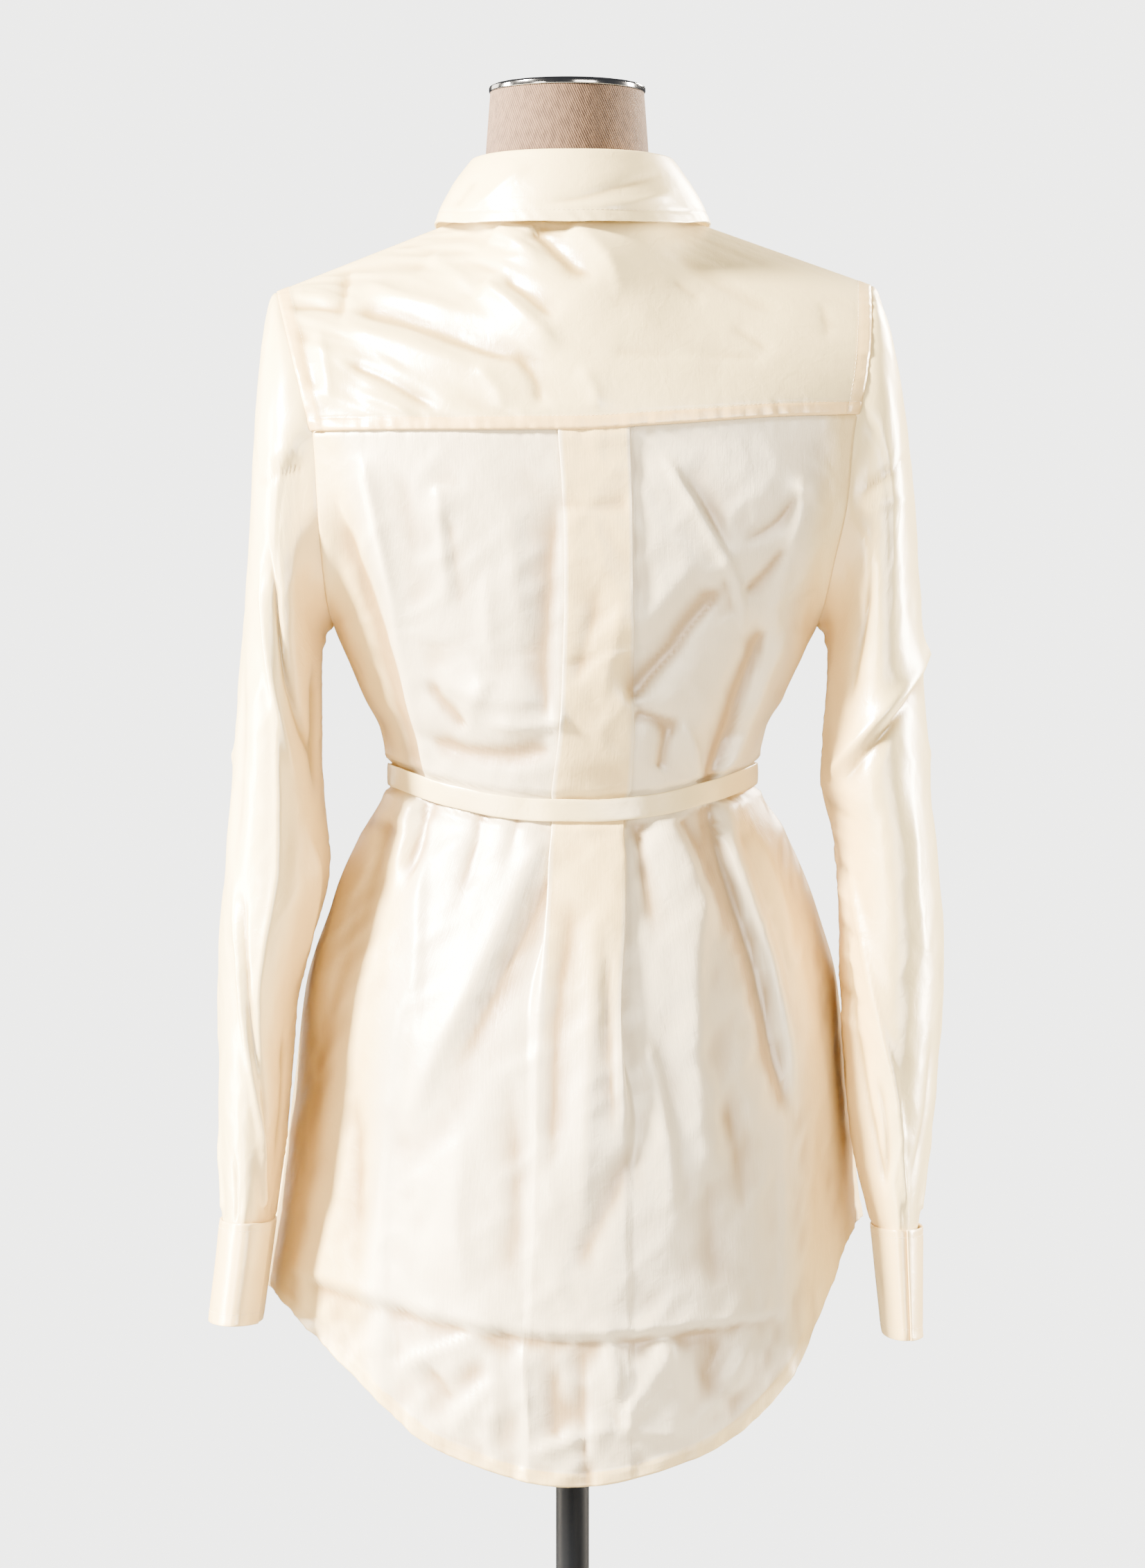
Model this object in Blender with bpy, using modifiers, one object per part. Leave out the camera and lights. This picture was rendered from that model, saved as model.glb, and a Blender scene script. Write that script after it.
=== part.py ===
"""Maternity blouse with a tie belt and a box-pleated back, on a limbless dress form and its stand.

Metres, +Z up. The wearer faces -Y and the wearer's left is +X. The origin is on the floor, at the
centre of the stand's base. Each cut piece of the blouse is one wall of cloth: a grid of points
worked out from the tables of sections below, with Solidify on it.
"""

import math

import bmesh
import bpy
import numpy as np

CLOTH = 0.0010  # thickness of a single wall of satin with its bulk
DOUBLE_CLOTH = 0.0016  # collar, cuffs and placket are two layers with a stiffener
BELT_CLOTH = 0.0020
SEAM_GAP = 0.0003  # clear distance between sewn pieces

BELT_DEPTH = 0.0145
BELT_HOLD = 0.0085  # half-width of the cloth that the belt holds flat
BELT_CLEARANCE = 0.0030  # middle of the belt to the middle of the cloth
BELT_LEVEL = 1.0300  # height that the narrowest section stands for
BELT_BACK = 1.0165
BELT_SIDE = 1.0405
BELT_FRONT = 1.0480

PLEAT_LAP = 0.0090  # width of each hidden layer of the box pleat
PLEAT_BEND = 0.00075  # radius of a pressed edge, at the middle of the cloth

SHOULDER_X = {1: 0.1965, -1: 0.1985}
SHOULDER_Z = {1: 1.3610, -1: 1.3655}
SHOULDER_Y = -0.008
NECK_HALF_WIDTH = 0.066
NECK_POINT_Z = 1.4125
NECK_BACK_Y = 0.063
NECK_BACK_Z = 1.4000
NECK_FRONT_Y = -0.078
NECK_FRONT_Z = 1.3705
NECK_SHARE = 0.36  # share of the half back that lies under the neckline

FRONT_LINE = 1.200  # below this height the fronts follow the sections
ARMPIT = 1.138
WAIST_ROWS = 6  # rows of points from the armpit to the belt
SKIRT_ROWS = 10  # and from the belt to the hem
YOKE_OVER = 0.0008  # the back's top edge lies this far below the yoke's lower edge
BUTTON_COUNT = 7
TOP_BUTTON_Z = 1.340
LOW_BUTTON_Z = 0.760
BUTTON_BELT_CLEARANCE = 0.030  # a button nearer than this to the belt is sewn above it
BUTTON_ABOVE_BELT = 0.045
BUTTON_RADIUS = 0.0055
BUTTON_THICKNESS = 0.0022
LAP_SHARE = 0.10  # the left front runs on past the middle by this share of a front
PLACKET_SHARE = 0.075  # half-width of the button placket, as such a share
RIGHT_EDGE_SHARE = 0.066  # the right front ends under the placket
RIGHT_RISE_SHARE = 0.24  # from here to the left front's edge the right front rises over it
RIGHT_LIFT = 0.0024  # the right front lies on the left one
PLACKET_LIFT = RIGHT_LIFT + CLOTH / 2 + 2 * SEAM_GAP + DOUBLE_CLOTH / 2

BASE_RADIUS = 0.170
BASE_THICKNESS = 0.012
HUB_RADIUS = 0.026
HUB_TOP = 0.055
POLE_RADIUS = 0.011
NECK_TOP = 1.4920
CAP_RADIUS = 0.0520
CAP_THICKNESS = 0.0045


class Table:
    """Rows of numbers with named columns; the first column is the one that is looked up."""

    def __init__(self, columns, rows):
        ordered = np.array(sorted(rows), dtype=float)
        self.values = dict(zip(columns, ordered.T))
        self.key = columns[0]

    def at(self, column, position):
        """Value of a column at a position, on the smooth curve through the rows."""
        return through(self.values[self.key], self.values[column], position)


def through(places, values, position):
    """Smooth curve through (places, values), read at position and level beyond both ends."""
    rise = np.diff(values) / np.diff(places)
    turns = rise[1:] * rise[:-1] <= 0
    middle = np.where(turns, 0.0, 2 * rise[1:] * rise[:-1] / np.where(turns, 1.0, rise[1:] + rise[:-1]))
    slope = np.concatenate([rise[:1], middle, rise[-1:]])
    position = np.clip(position, places[0], places[-1])
    low = np.clip(np.searchsorted(places, position) - 1, 0, len(places) - 2)
    step = places[low + 1] - places[low]
    t = (position - places[low]) / step
    start = values[low] * (1 + 2 * t) + step * slope[low] * t
    end = values[low + 1] * (3 - 2 * t) + step * slope[low + 1] * (t - 1)
    return start * (1 - t) ** 2 + end * t**2


def ease(t):
    """0 below 0, 1 above 1 and a smooth step between."""
    t = np.clip(t, 0.0, 1.0)
    return t * t * (3 - 2 * t)


# Sections of the body of the blouse. left and right: distance of the side seam, or of the armhole
# seam above it, from the axis. seam: depth of the side seam. back_open and front_open: how far
# behind and in front of it the armhole's edges lie. mid and arc: where each face crosses the
# middle, and how far round an ellipse it reaches, in degrees either way.
BODY = Table(
    ("z", "left", "right", "seam")
    + ("back_open", "back_mid", "back_arc")
    + ("front_open", "front_mid", "front_arc"),
    (
        (1.300, 0.1800, 0.1920, 0.000, 0.070, 0.1190, 50, 0.070, -0.118, 55),
        (1.265, 0.1690, 0.1830, 0.000, 0.080, 0.1220, 52, 0.080, -0.130, 58),
        (1.215, 0.1655, 0.1780, 0.000, 0.080, 0.1210, 58, 0.080, -0.143, 64),
        (1.175, 0.1630, 0.1700, 0.000, 0.064, 0.1180, 68, 0.067, -0.149, 74),
        (1.150, 0.1610, 0.1655, 0.000, 0.038, 0.1150, 80, 0.040, -0.148, 84),
        (1.140, 0.1595, 0.1635, 0.000, 0.015, 0.1132, 87, 0.016, -0.146, 88),
        (1.137, 0.1590, 0.1630, 0.000, 0.000, 0.1128, 90, 0.000, -0.146, 90),
        (1.110, 0.1490, 0.1500, -0.003, 0.000, 0.1100, 90, 0.000, -0.140, 90),
        (1.080, 0.1380, 0.1390, -0.006, 0.000, 0.1060, 90, 0.000, -0.131, 90),
        (1.055, 0.1260, 0.1250, -0.008, 0.000, 0.1000, 90, 0.000, -0.120, 90),
        (1.030, 0.1205, 0.1205, -0.010, 0.000, 0.0895, 90, 0.000, -0.108, 90),
        (1.000, 0.1375, 0.1395, -0.014, 0.000, 0.0990, 90, 0.000, -0.120, 90),
        (0.950, 0.1600, 0.1620, -0.022, 0.000, 0.1150, 90, 0.000, -0.141, 90),
        (0.900, 0.1780, 0.1770, -0.031, 0.000, 0.1280, 90, 0.000, -0.155, 90),
        (0.830, 0.1870, 0.1840, -0.040, 0.000, 0.1410, 90, 0.000, -0.168, 90),
        (0.760, 0.1965, 0.1920, -0.042, 0.000, 0.1490, 90, 0.000, -0.174, 90),
        (0.700, 0.2055, 0.1990, -0.042, 0.000, 0.1530, 90, 0.000, -0.176, 90),
        (0.560, 0.2100, 0.2050, -0.042, 0.000, 0.1550, 90, 0.000, -0.176, 90),
    ),
)

# Height of the curved hem and of the yoke seam, by share of the way from the middle to the seams.
BACK_EDGES = Table(
    ("share", "yoke", "hem"),
    (
        (-1.00, 1.2735, 0.746),
        (-0.87, 1.2725, 0.744),
        (-0.75, 1.2715, 0.733),
        (-0.62, 1.2700, 0.698),
        (-0.50, 1.2680, 0.651),
        (-0.25, 1.2640, 0.603),
        (0.00, 1.2610, 0.587),
        (0.25, 1.2610, 0.605),
        (0.50, 1.2615, 0.656),
        (0.75, 1.2620, 0.693),
        (1.00, 1.2625, 0.706),
    ),
)
FRONT_HEM = Table(
    ("share", "hem"),
    (
        (-1.00, 0.746),
        (-0.75, 0.728),
        (-0.50, 0.690),
        (-0.25, 0.667),
        (0.00, 0.660),
        (0.25, 0.665),
        (0.50, 0.682),
        (0.75, 0.700),
        (1.00, 0.706),
    ),
)

# Where the edges of the pleat's strip lie, and how far each has opened out (0 pressed, 1 open).
PLEAT = Table(
    ("z", "left", "right", "left_open", "right_open"),
    (
        (1.270, 0.0090, -0.0360, 0.0, 0.0),
        (1.180, 0.0040, -0.0385, 0.0, 0.0),
        (1.080, 0.0065, -0.0385, 0.0, 0.0),
        (1.020, 0.0130, -0.0360, 0.0, 0.0),
        (0.950, 0.0165, -0.0340, 0.35, 0.05),
        (0.880, 0.0195, -0.0300, 0.85, 0.35),
        (0.800, 0.0220, -0.0310, 1.0, 0.90),
        (0.740, 0.0240, -0.0325, 1.0, 1.0),
        (0.560, 0.0280, -0.0360, 1.0, 1.0),
    ),
)

# The largest folds: a soft ridge (height above 0) or trough along a curve through three places.
FOLD_COLUMNS = ("z_top", "x_top", "z_mid", "x_mid", "z_low", "x_low", "width", "height")
BACK_FOLDS = (
    (1.2370, 0.1560, 1.1512, 0.1241, 1.0334, 0.0969, 0.012, -0.0070),
    (1.2400, 0.1362, 1.1753, 0.1150, 1.0450, 0.1060, 0.010, 0.0040),
    (1.2257, 0.0880, 1.1753, 0.0875, 1.1512, 0.0715, 0.007, -0.0030),
    (1.2453, -0.0526, 1.1820, -0.0972, 1.1342, -0.1106, 0.011, 0.0045),
    (1.1615, -0.1010, 1.1293, -0.0731, 1.0865, -0.0460, 0.008, -0.0040),
    (1.2195, -0.1485, 1.1887, -0.1449, 1.0829, -0.1300, 0.010, 0.0050),
    (1.1500, -0.1280, 1.0896, -0.1123, 1.0250, -0.0905, 0.009, -0.0080),
    (1.0300, -0.0900, 0.9763, -0.1043, 0.8036, -0.1409, 0.009, -0.0080),
    (1.0000, -0.1150, 0.9400, -0.1330, 0.8200, -0.1580, 0.011, 0.0045),
    (1.0196, 0.0960, 0.9152, 0.1032, 0.7130, 0.1223, 0.010, 0.0050),
    (1.0200, 0.0820, 0.9600, 0.0860, 0.8700, 0.0900, 0.009, -0.0055),
    (1.0017, 0.0300, 0.8902, 0.0710, 0.8036, 0.1076, 0.014, 0.0040),
    (0.8700, -0.0800, 0.8000, -0.0860, 0.6900, -0.0880, 0.015, -0.0040),
    (0.8500, -0.0300, 0.7900, -0.0180, 0.7100, 0.0080, 0.013, -0.0040),
)
FRONT_GATHERS = 5  # on each front, under the belt and over it
GATHER_SPACING = 0.017
GATHER_WIDTH = 0.0085
GATHER_DEPTH = 0.0042

# Sections of each sleeve below the armhole: centre, half-width across and half-depth.
SLEEVES = {
    1: Table(
        ("z", "x", "half_width", "y", "half_depth"),
        (
            (1.100, 0.1930, 0.0270, 0.006, 0.072),
            (1.040, 0.1950, 0.0295, 0.012, 0.070),
            (0.980, 0.1945, 0.0343, 0.018, 0.067),
            (0.930, 0.2015, 0.0301, 0.024, 0.065),
            (0.890, 0.2065, 0.0257, 0.028, 0.063),
            (0.818, 0.2093, 0.0229, 0.034, 0.058),
            (0.770, 0.2110, 0.0190, 0.040, 0.051),
            (0.7495, 0.2125, 0.0172, 0.042, 0.047),
        ),
    ),
    -1: Table(
        ("z", "x", "half_width", "y", "half_depth"),
        (
            (1.100, 0.2000, 0.0315, 0.006, 0.072),
            (1.040, 0.2000, 0.0360, 0.012, 0.070),
            (0.990, 0.2070, 0.0336, 0.018, 0.067),
            (0.925, 0.2095, 0.0338, 0.025, 0.064),
            (0.833, 0.2095, 0.0298, 0.033, 0.060),
            (0.791, 0.2090, 0.0242, 0.038, 0.055),
            (0.7455, 0.2115, 0.0150, 0.044, 0.049),
        ),
    ),
}
SLEEVE_TOP_RING = 1.100
SLEEVE_HOLLOW = {1: 0.0085, -1: 0.0}  # how far the outer line dips in above the first ring
SLEEVE_END = {1: 0.7495, -1: 0.7455}

# Each cuff: height of its lower edge, and its centre and half sizes there.
CUFF_COLUMNS = ("z", "x", "half_width", "y", "half_depth")
CUFF_LOW = {
    1: (0.6830, 0.2205, 0.0165, 0.046, 0.047),
    -1: (0.6740, 0.2150, 0.0110, 0.047, 0.050),
}
CUFF_LAP_DEGREES = 16
CUFF_SLIT_DEGREES = {1: 128, -1: 60}
CUFF_LAP_LIFT = 0.0027

# Sections of the dress form: half-width, and depth in front of and behind its axis.
FORM = Table(
    ("z", "half_width", "front", "back"),
    (
        (0.765, 0.158, 0.098, 0.100),
        (0.830, 0.168, 0.108, 0.114),
        (0.900, 0.158, 0.104, 0.108),
        (0.970, 0.130, 0.094, 0.088),
        (1.030, 0.108, 0.083, 0.074),
        (1.090, 0.120, 0.095, 0.083),
        (1.150, 0.134, 0.120, 0.096),
        (1.190, 0.143, 0.132, 0.101),
        (1.250, 0.146, 0.114, 0.100),
        (1.310, 0.153, 0.080, 0.089),
        (1.342, 0.146, 0.058, 0.070),
        (1.362, 0.126, 0.050, 0.060),
        (1.378, 0.094, 0.049, 0.055),
        (1.392, 0.067, 0.049, 0.053),
        (1.412, 0.0560, 0.050, 0.053),
        (1.445, 0.0545, 0.0515, 0.0535),
        (1.492, 0.0512, 0.0512, 0.0512),
    ),
)
FORM_RING = 28
NECK_LEAN = 0.0035  # the neck stands a little to the wearer's left of the pole

SATIN = ((0.955, 0.885, 0.745, 1.0), 0.34)
PANEL_SATIN = ((0.90, 0.86, 0.76, 1.0), 0.42)
LINEN = ((0.46, 0.32, 0.22, 1.0), 0.90)
CHROME = ((0.55, 0.57, 0.60, 1.0), 0.12)
DARK_STEEL = ((0.035, 0.045, 0.060, 1.0), 0.38)
PEARL = ((0.93, 0.90, 0.82, 1.0), 0.25)


def clear_scene():
    for item in list(bpy.data.objects):
        bpy.data.objects.remove(item, do_unlink=True)


def material(name, colour_and_roughness, metallic=0.0):
    colour, roughness = colour_and_roughness
    finish = bpy.data.materials.new(name)
    finish.use_nodes = True
    shader = finish.node_tree.nodes["Principled BSDF"]
    shader.inputs["Base Color"].default_value = colour
    shader.inputs["Roughness"].default_value = roughness
    shader.inputs["Metallic"].default_value = metallic
    return finish


def finished(mesh, name, collection, finish):
    """Object of a mesh, in the collection, smooth except at sharp edges."""
    mesh.materials.append(finish)
    mesh.shade_smooth()
    mesh.set_sharp_from_angle(angle=math.radians(50))
    item = bpy.data.objects.new(name, mesh)
    collection.objects.link(item)
    return item


def grid_mesh(name, points, wrap=False):
    """Quads over a grid of points (rows, columns, 3), joined round the columns if wrap is set."""
    rows, columns = points.shape[:2]
    here = np.arange(rows * columns).reshape(rows, columns)
    beside = np.roll(here, -1, axis=1)
    if not wrap:
        here, beside = here[:, :-1], beside[:, :-1]
    faces = np.stack([here[:-1], beside[:-1], beside[1:], here[1:]], axis=-1).reshape(-1, 4)
    mesh = bpy.data.meshes.new(name)
    mesh.from_pydata(points.reshape(-1, 3).tolist(), [], faces.tolist())
    return mesh


def cloth_wall(name, points, collection, finish, thickness=CLOTH, wrap=False):
    """Wall of cloth of an even thickness, its middle on the grid of points."""
    item = finished(grid_mesh(name, points, wrap), name, collection, finish)
    solidify = item.modifiers.new("thickness", "SOLIDIFY")
    solidify.thickness = thickness
    solidify.offset = 0.0
    return item


def closed_loft(name, points, collection, finish):
    """Solid through closed rings of points (rows, columns, 3), capped at both ends."""
    rows, columns = points.shape[:2]
    mesh = grid_mesh(name, points, wrap=True)
    shape = bmesh.new()
    shape.from_mesh(mesh)
    shape.verts.ensure_lookup_table()
    for first in (0, (rows - 1) * columns):
        shape.faces.new([shape.verts[first + i] for i in range(columns)])
    bmesh.ops.recalc_face_normals(shape, faces=shape.faces)
    shape.to_mesh(mesh)
    shape.free()
    return finished(mesh, name, collection, finish)


def turned(name, profile, collection, finish, steps=32):
    """Solid of revolution about Z: the profile (radius, height) runs down its outer side."""
    mesh = bpy.data.meshes.new(name)
    points = [(radius, 0.0, height) for radius, height in profile]
    mesh.from_pydata(points, [(i, i + 1) for i in range(len(points) - 1)], [])
    item = finished(mesh, name, collection, finish)
    screw = item.modifiers.new("turn", "SCREW")
    screw.steps = steps
    screw.render_steps = steps
    screw.use_merge_vertices = True
    screw.merge_threshold = 0.00005
    screw.use_smooth_shade = True
    return item


# ---- the body of the blouse -------------------------------------------------------------------


def belt_height(face, share):
    """Height of the belt's middle line: low at the back, rising over the sides to the front."""
    turn = np.abs(np.sin(share * math.pi / 2))
    if face > 0:
        return BELT_BACK + (BELT_SIDE - BELT_BACK) * turn**2.2
    return BELT_FRONT + (BELT_SIDE - BELT_FRONT) * turn**2


def section_height(face, share, z):
    """Height to read the sections at: the waist follows the belt, and is flat underneath it."""
    belt = belt_height(face, share)
    above = z - belt
    dip = (belt - BELT_LEVEL) * np.exp(-((above / 0.09) ** 2))
    held = np.clip(above, -BELT_HOLD, BELT_HOLD) * np.exp(-((above / 0.05) ** 2))
    return z - dip - held


def trunk(face, share, z):
    """Points and level outward normals of the back (face 1) or the fronts (face -1).

    share runs from -1 at the right seam over 0 in the middle to 1 at the left seam. Each section
    is the arc of an ellipse between the seams.
    """
    share, z = np.broadcast_arrays(np.asarray(share, dtype=float), np.asarray(z, dtype=float))
    level = section_height(face, share, z)
    kind = "back" if face > 0 else "front"
    reach = np.where(share >= 0, BODY.at("left", level), BODY.at("right", level))
    seam = BODY.at("seam", level) + face * (BODY.at(f"{kind}_open", level) + SEAM_GAP / 2)
    deep = BODY.at(f"{kind}_mid", level) - seam
    arc = np.radians(BODY.at(f"{kind}_arc", level))
    turn = share * arc
    x = reach * np.sin(turn) / np.sin(arc)
    y = seam + deep * (np.cos(turn) - np.cos(arc)) / (1 - np.cos(arc))
    points = np.stack([x, y, z], axis=-1)
    along_x = reach * np.cos(turn) / np.sin(arc)
    along_y = -deep * np.sin(turn) / (1 - np.cos(arc))
    normals = face * np.stack([-along_y, along_x, np.zeros_like(z)], axis=-1)
    return points, normals / np.linalg.norm(normals, axis=-1, keepdims=True)


def share_at(face, across, z):
    """Share of the half section that lies at a distance across from the axis."""
    kind = "back" if face > 0 else "front"
    reach = np.where(across >= 0, BODY.at("left", z), BODY.at("right", z))
    arc = np.radians(BODY.at(f"{kind}_arc", z))
    return np.arcsin(np.clip(across * np.sin(arc) / reach, -1.0, 1.0)) / arc


def fold_relief(folds, face, across, share, z):
    """Height of the folds at places on a face, held down flat under the belt."""
    relief = np.zeros_like(z)
    for row in folds:
        fold = dict(zip(FOLD_COLUMNS, row))
        places = np.array([fold["z_low"], fold["z_mid"], fold["z_top"]])
        path = through(places, np.array([fold["x_low"], fold["x_mid"], fold["x_top"]]), z)
        fade = 0.28 * (fold["z_top"] - fold["z_low"])
        window = ease((z - fold["z_low"]) / fade) * ease((fold["z_top"] - z) / fade)
        relief += fold["height"] * np.exp(-(((across - path) / fold["width"]) ** 2)) * window
    under_belt = np.exp(-(((z - belt_height(face, share)) / 0.014) ** 4))
    near_seam = ease((1 - np.abs(share)) / 0.12)
    return relief * (1 - under_belt) * near_seam


def front_gathers():
    """Short troughs that fan out from the belt over both fronts."""
    folds = []
    for side in (1, -1):
        for i in range(FRONT_GATHERS):
            x = side * (0.040 + GATHER_SPACING * i)
            fan = side * 0.0025 * (i + 1)
            length = 0.13 + 0.05 * (i % 3)
            depth = GATHER_DEPTH * (0.75 + 0.25 * (i % 2))
            folds.append((1.030, x, 0.985, x + fan, 1.030 - length, x + 2.6 * fan, GATHER_WIDTH, -depth))
            top = 1.050 + 0.04 + 0.02 * (i % 2)
            folds.append((top, x + fan, 1.075, x + 0.4 * fan, 1.045, x, GATHER_WIDTH, -0.6 * depth))
    return folds


def panel_heights(top, low, upper_rows, face, share):
    """Heights of a panel's rows, alike for both faces along the side seam.

    They run from the top edge to the armpit, on to the belt, and below it to the lower edge.
    top, low and share hold a value for each column, or for each row and column.
    """
    rows = upper_rows + WAIST_ROWS + SKIRT_ROWS
    belt = np.broadcast_to(belt_height(face, share), (rows, np.shape(share)[-1]))
    row = np.arange(rows)[:, None]
    upper = top + (ARMPIT - top) * row / upper_rows
    middle = ARMPIT + (belt + BELT_HOLD - ARMPIT) * (row - upper_rows) / (WAIST_ROWS - 1)
    down = (row - upper_rows - WAIST_ROWS) / (SKIRT_ROWS - 1)
    lower = belt - BELT_HOLD + (low - belt + BELT_HOLD) * down
    return np.where(row < upper_rows, upper, np.where(row < upper_rows + WAIST_ROWS, middle, lower))


def pleat_edge(opened):
    """Line across one edge of the box pleat, as (away from the strip, depth) pairs.

    The cloth turns under the strip on a small arc, runs back by the lap, and turns out again on a
    like arc. As the pleat opens, both arcs turn through less and grow wider.
    """
    turn = np.radians(180.0 * (1 - opened) + 12.0 * opened)
    bend = PLEAT_BEND + 0.011 * opened**3
    lap = PLEAT_LAP * (1 - opened) ** 1.5 + 0.003 * opened
    line = [(bend * np.sin(a), bend * (np.cos(a) - 1)) for a in (0 * turn, turn / 2, turn)]
    start_x = line[-1][0] + lap * np.cos(turn)
    start_y = line[-1][1] - lap * np.sin(turn)
    for heading in (-turn, -turn / 2, 0 * turn):
        x = start_x + bend * (np.sin(heading) + np.sin(turn))
        y = start_y + bend * (np.cos(turn) - np.cos(heading))
        line.append((x, y))
    return line


def back_columns(z, side_columns=10, strip_columns=2):
    """Distance across and depth of every column of the back at heights z (rows)."""
    columns = []
    steps = {}
    for side, name in ((1, "left"), (-1, "right")):
        opened = np.clip(PLEAT.at(f"{name}_open", z), 0.0, 1.0)
        line = pleat_edge(opened)
        lift = -line[-1][1] / 2
        edge = PLEAT.at(name, z)
        steps[side] = ([edge + side * x for x, _ in line], [lift + y for _, y in line], lift)
    for side in (1, -1):
        across, depth, lift = steps[side]
        last = share_at(1, across[-1], z)
        outer = []
        for i in range(1, side_columns + 1):
            share = last + (side - last) * (i / side_columns)
            outer.append((share, -lift * ease(1 - i / (0.45 * side_columns))))
        fold = [(share_at(1, x, z), y) for x, y in zip(across, depth)]
        columns.append(fold + outer)
    left, right = columns
    inner = []
    for i in range(1, strip_columns + 1):
        t = i / (strip_columns + 1)
        share = left[0][0] + (right[0][0] - left[0][0]) * t
        inner.append((share, left[0][1] + (right[0][1] - left[0][1]) * t))
    ordered = left[::-1] + inner + right
    return np.stack([c[0] for c in ordered], axis=1), np.stack([c[1] for c in ordered], axis=1)


def back_grid(upper_rows=6):
    """Grid of the back: a first pass takes level rows, the rest follow the curved edges."""
    share = np.repeat(back_columns(np.full(1, 1.0))[0], upper_rows + WAIST_ROWS + SKIRT_ROWS, axis=0)
    for _ in range(3):
        top = BACK_EDGES.at("yoke", share) - YOKE_OVER
        heights = panel_heights(top, BACK_EDGES.at("hem", share), upper_rows, 1, share)
        columns = [back_columns(heights[:, i]) for i in range(heights.shape[1])]
        share = np.clip(np.stack([c[0][:, i] for i, c in enumerate(columns)], axis=1), -1.0, 1.0)
    depth = np.stack([c[1][:, i] for i, c in enumerate(columns)], axis=1)
    points, normals = trunk(1, share, heights)
    relief = fold_relief(BACK_FOLDS, 1, points[..., 0], share, heights)
    return points + normals * (depth + relief)[..., None]


def bezier(first, second, third, last, t):
    """Points of cubic curves with the given control points, at t."""
    t = t[..., None]
    return (
        first * (1 - t) ** 3
        + 3 * second * t * (1 - t) ** 2
        + 3 * third * t**2 * (1 - t)
        + last * t**3
    )


def neckline(turn):
    """Point of the neckline; turn is 0 at the centre back, pi/2 at the left side, pi in front."""
    behind = np.cos(turn) >= 0
    y = SHOULDER_Y + np.where(behind, NECK_BACK_Y - SHOULDER_Y, SHOULDER_Y - NECK_FRONT_Y) * np.cos(turn)
    drop = np.where(behind, NECK_POINT_Z - NECK_BACK_Z, NECK_POINT_Z - NECK_FRONT_Z)
    return np.stack([NECK_HALF_WIDTH * np.sin(turn), y, NECK_POINT_Z - drop * np.cos(turn) ** 2], axis=-1)


def top_line(face, share):
    """Top edge of the yoke or the fronts: the neckline, then the shoulder seam to the armhole."""
    side = np.where(share >= 0, 1, -1)
    size = np.abs(share)
    neck_turn = np.minimum(size / NECK_SHARE, 1.0) * math.pi / 2
    neck = neckline(neck_turn if face > 0 else math.pi - neck_turn)
    f = np.clip((size - NECK_SHARE) / (1 - NECK_SHARE), 0.0, 1.0)[..., None]
    shoulder_x = np.where(side > 0, SHOULDER_X[1], SHOULDER_X[-1])
    shoulder_z = np.where(side > 0, SHOULDER_Z[1], SHOULDER_Z[-1])
    shoulder = np.stack([shoulder_x, np.full_like(share, SHOULDER_Y), shoulder_z], axis=-1)
    line = neck * (1 - f) + shoulder * f
    line[..., 0] *= side
    line[..., 1] += face * (SEAM_GAP / 2 + CLOTH / 2)
    return line


def yoke_point(share, t):
    """Point of the yoke: t is 0 at the yoke seam and 1 at the neckline or the shoulder seam."""
    low, normal = trunk(1, share, BACK_EDGES.at("yoke", share))
    low = low + normal * PLEAT_BEND * 2
    high = top_line(1, share)
    size = np.abs(share)
    zero = np.zeros_like(size)
    rise = np.stack([0.012 * np.sign(share) * size**4, -0.002 + zero, 0.072 - 0.025 * size**2], axis=-1)
    fall = np.stack([-0.003 * np.sign(share) * size**4, 0.036 + 0.004 * size**2, -0.010 + zero], axis=-1)
    return bezier(low, low + rise, high + fall, high, t)


def front_point(share, t):
    """Point of a front above the line where the sections begin: t is 0 there and 1 at the top."""
    low, _ = trunk(-1, share, np.full_like(share, FRONT_LINE))
    below, _ = trunk(-1, share, np.full_like(share, FRONT_LINE - 0.012))
    high = top_line(-1, share)
    size = np.abs(share)
    rise = (low - below) / 0.012 * 0.055
    fall = np.stack(
        [-0.006 * np.sign(share) * size**4, -0.022 - 0.016 * size, -0.042 + 0.028 * size], axis=-1
    )
    return bezier(low, low + rise, high + fall, high, t)


def front_grid(shares, top_rows=6, upper_rows=2, lift=0.0):
    """Grid of the fronts over a line of shares, from the neckline and shoulder down to the hem."""
    shares = np.asarray(shares, dtype=float)
    t = np.linspace(1, 0, top_rows, endpoint=False)[:, None] * np.ones_like(shares)
    top = front_point(shares * np.ones_like(t), t)
    line = np.full_like(shares, FRONT_LINE)
    heights = panel_heights(line, FRONT_HEM.at("hem", shares), upper_rows, -1, shares)
    spread = shares * np.ones_like(heights)
    lower, normals = trunk(-1, spread, heights)
    relief = fold_relief(front_gathers(), -1, lower[..., 0], spread, heights)
    points = np.concatenate([top, lower + normals * relief[..., None]])
    outward = np.concatenate([normals[:1] * np.ones_like(top), normals])
    return points + outward * (lift * np.ones_like(shares))[:, None]


def armhole_loop(side):
    """Closed line of the armhole seam, from the shoulder down the back and up the front."""
    end = np.array([float(side)])
    down = np.linspace(1, 0, 12, endpoint=False)
    yoke = yoke_point(np.repeat(end, 12), down)
    back_z = np.linspace(float(BACK_EDGES.at("yoke", end)[0]), ARMPIT, 14, endpoint=False)
    back, _ = trunk(1, np.repeat(end, 14), back_z)
    front_z = np.linspace(ARMPIT, FRONT_LINE, 10, endpoint=False)
    front, _ = trunk(-1, np.repeat(end, 10), front_z)
    top = front_point(np.repeat(end, 12), np.linspace(0, 1, 12, endpoint=False))
    return np.concatenate([yoke, back, front, top])


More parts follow.
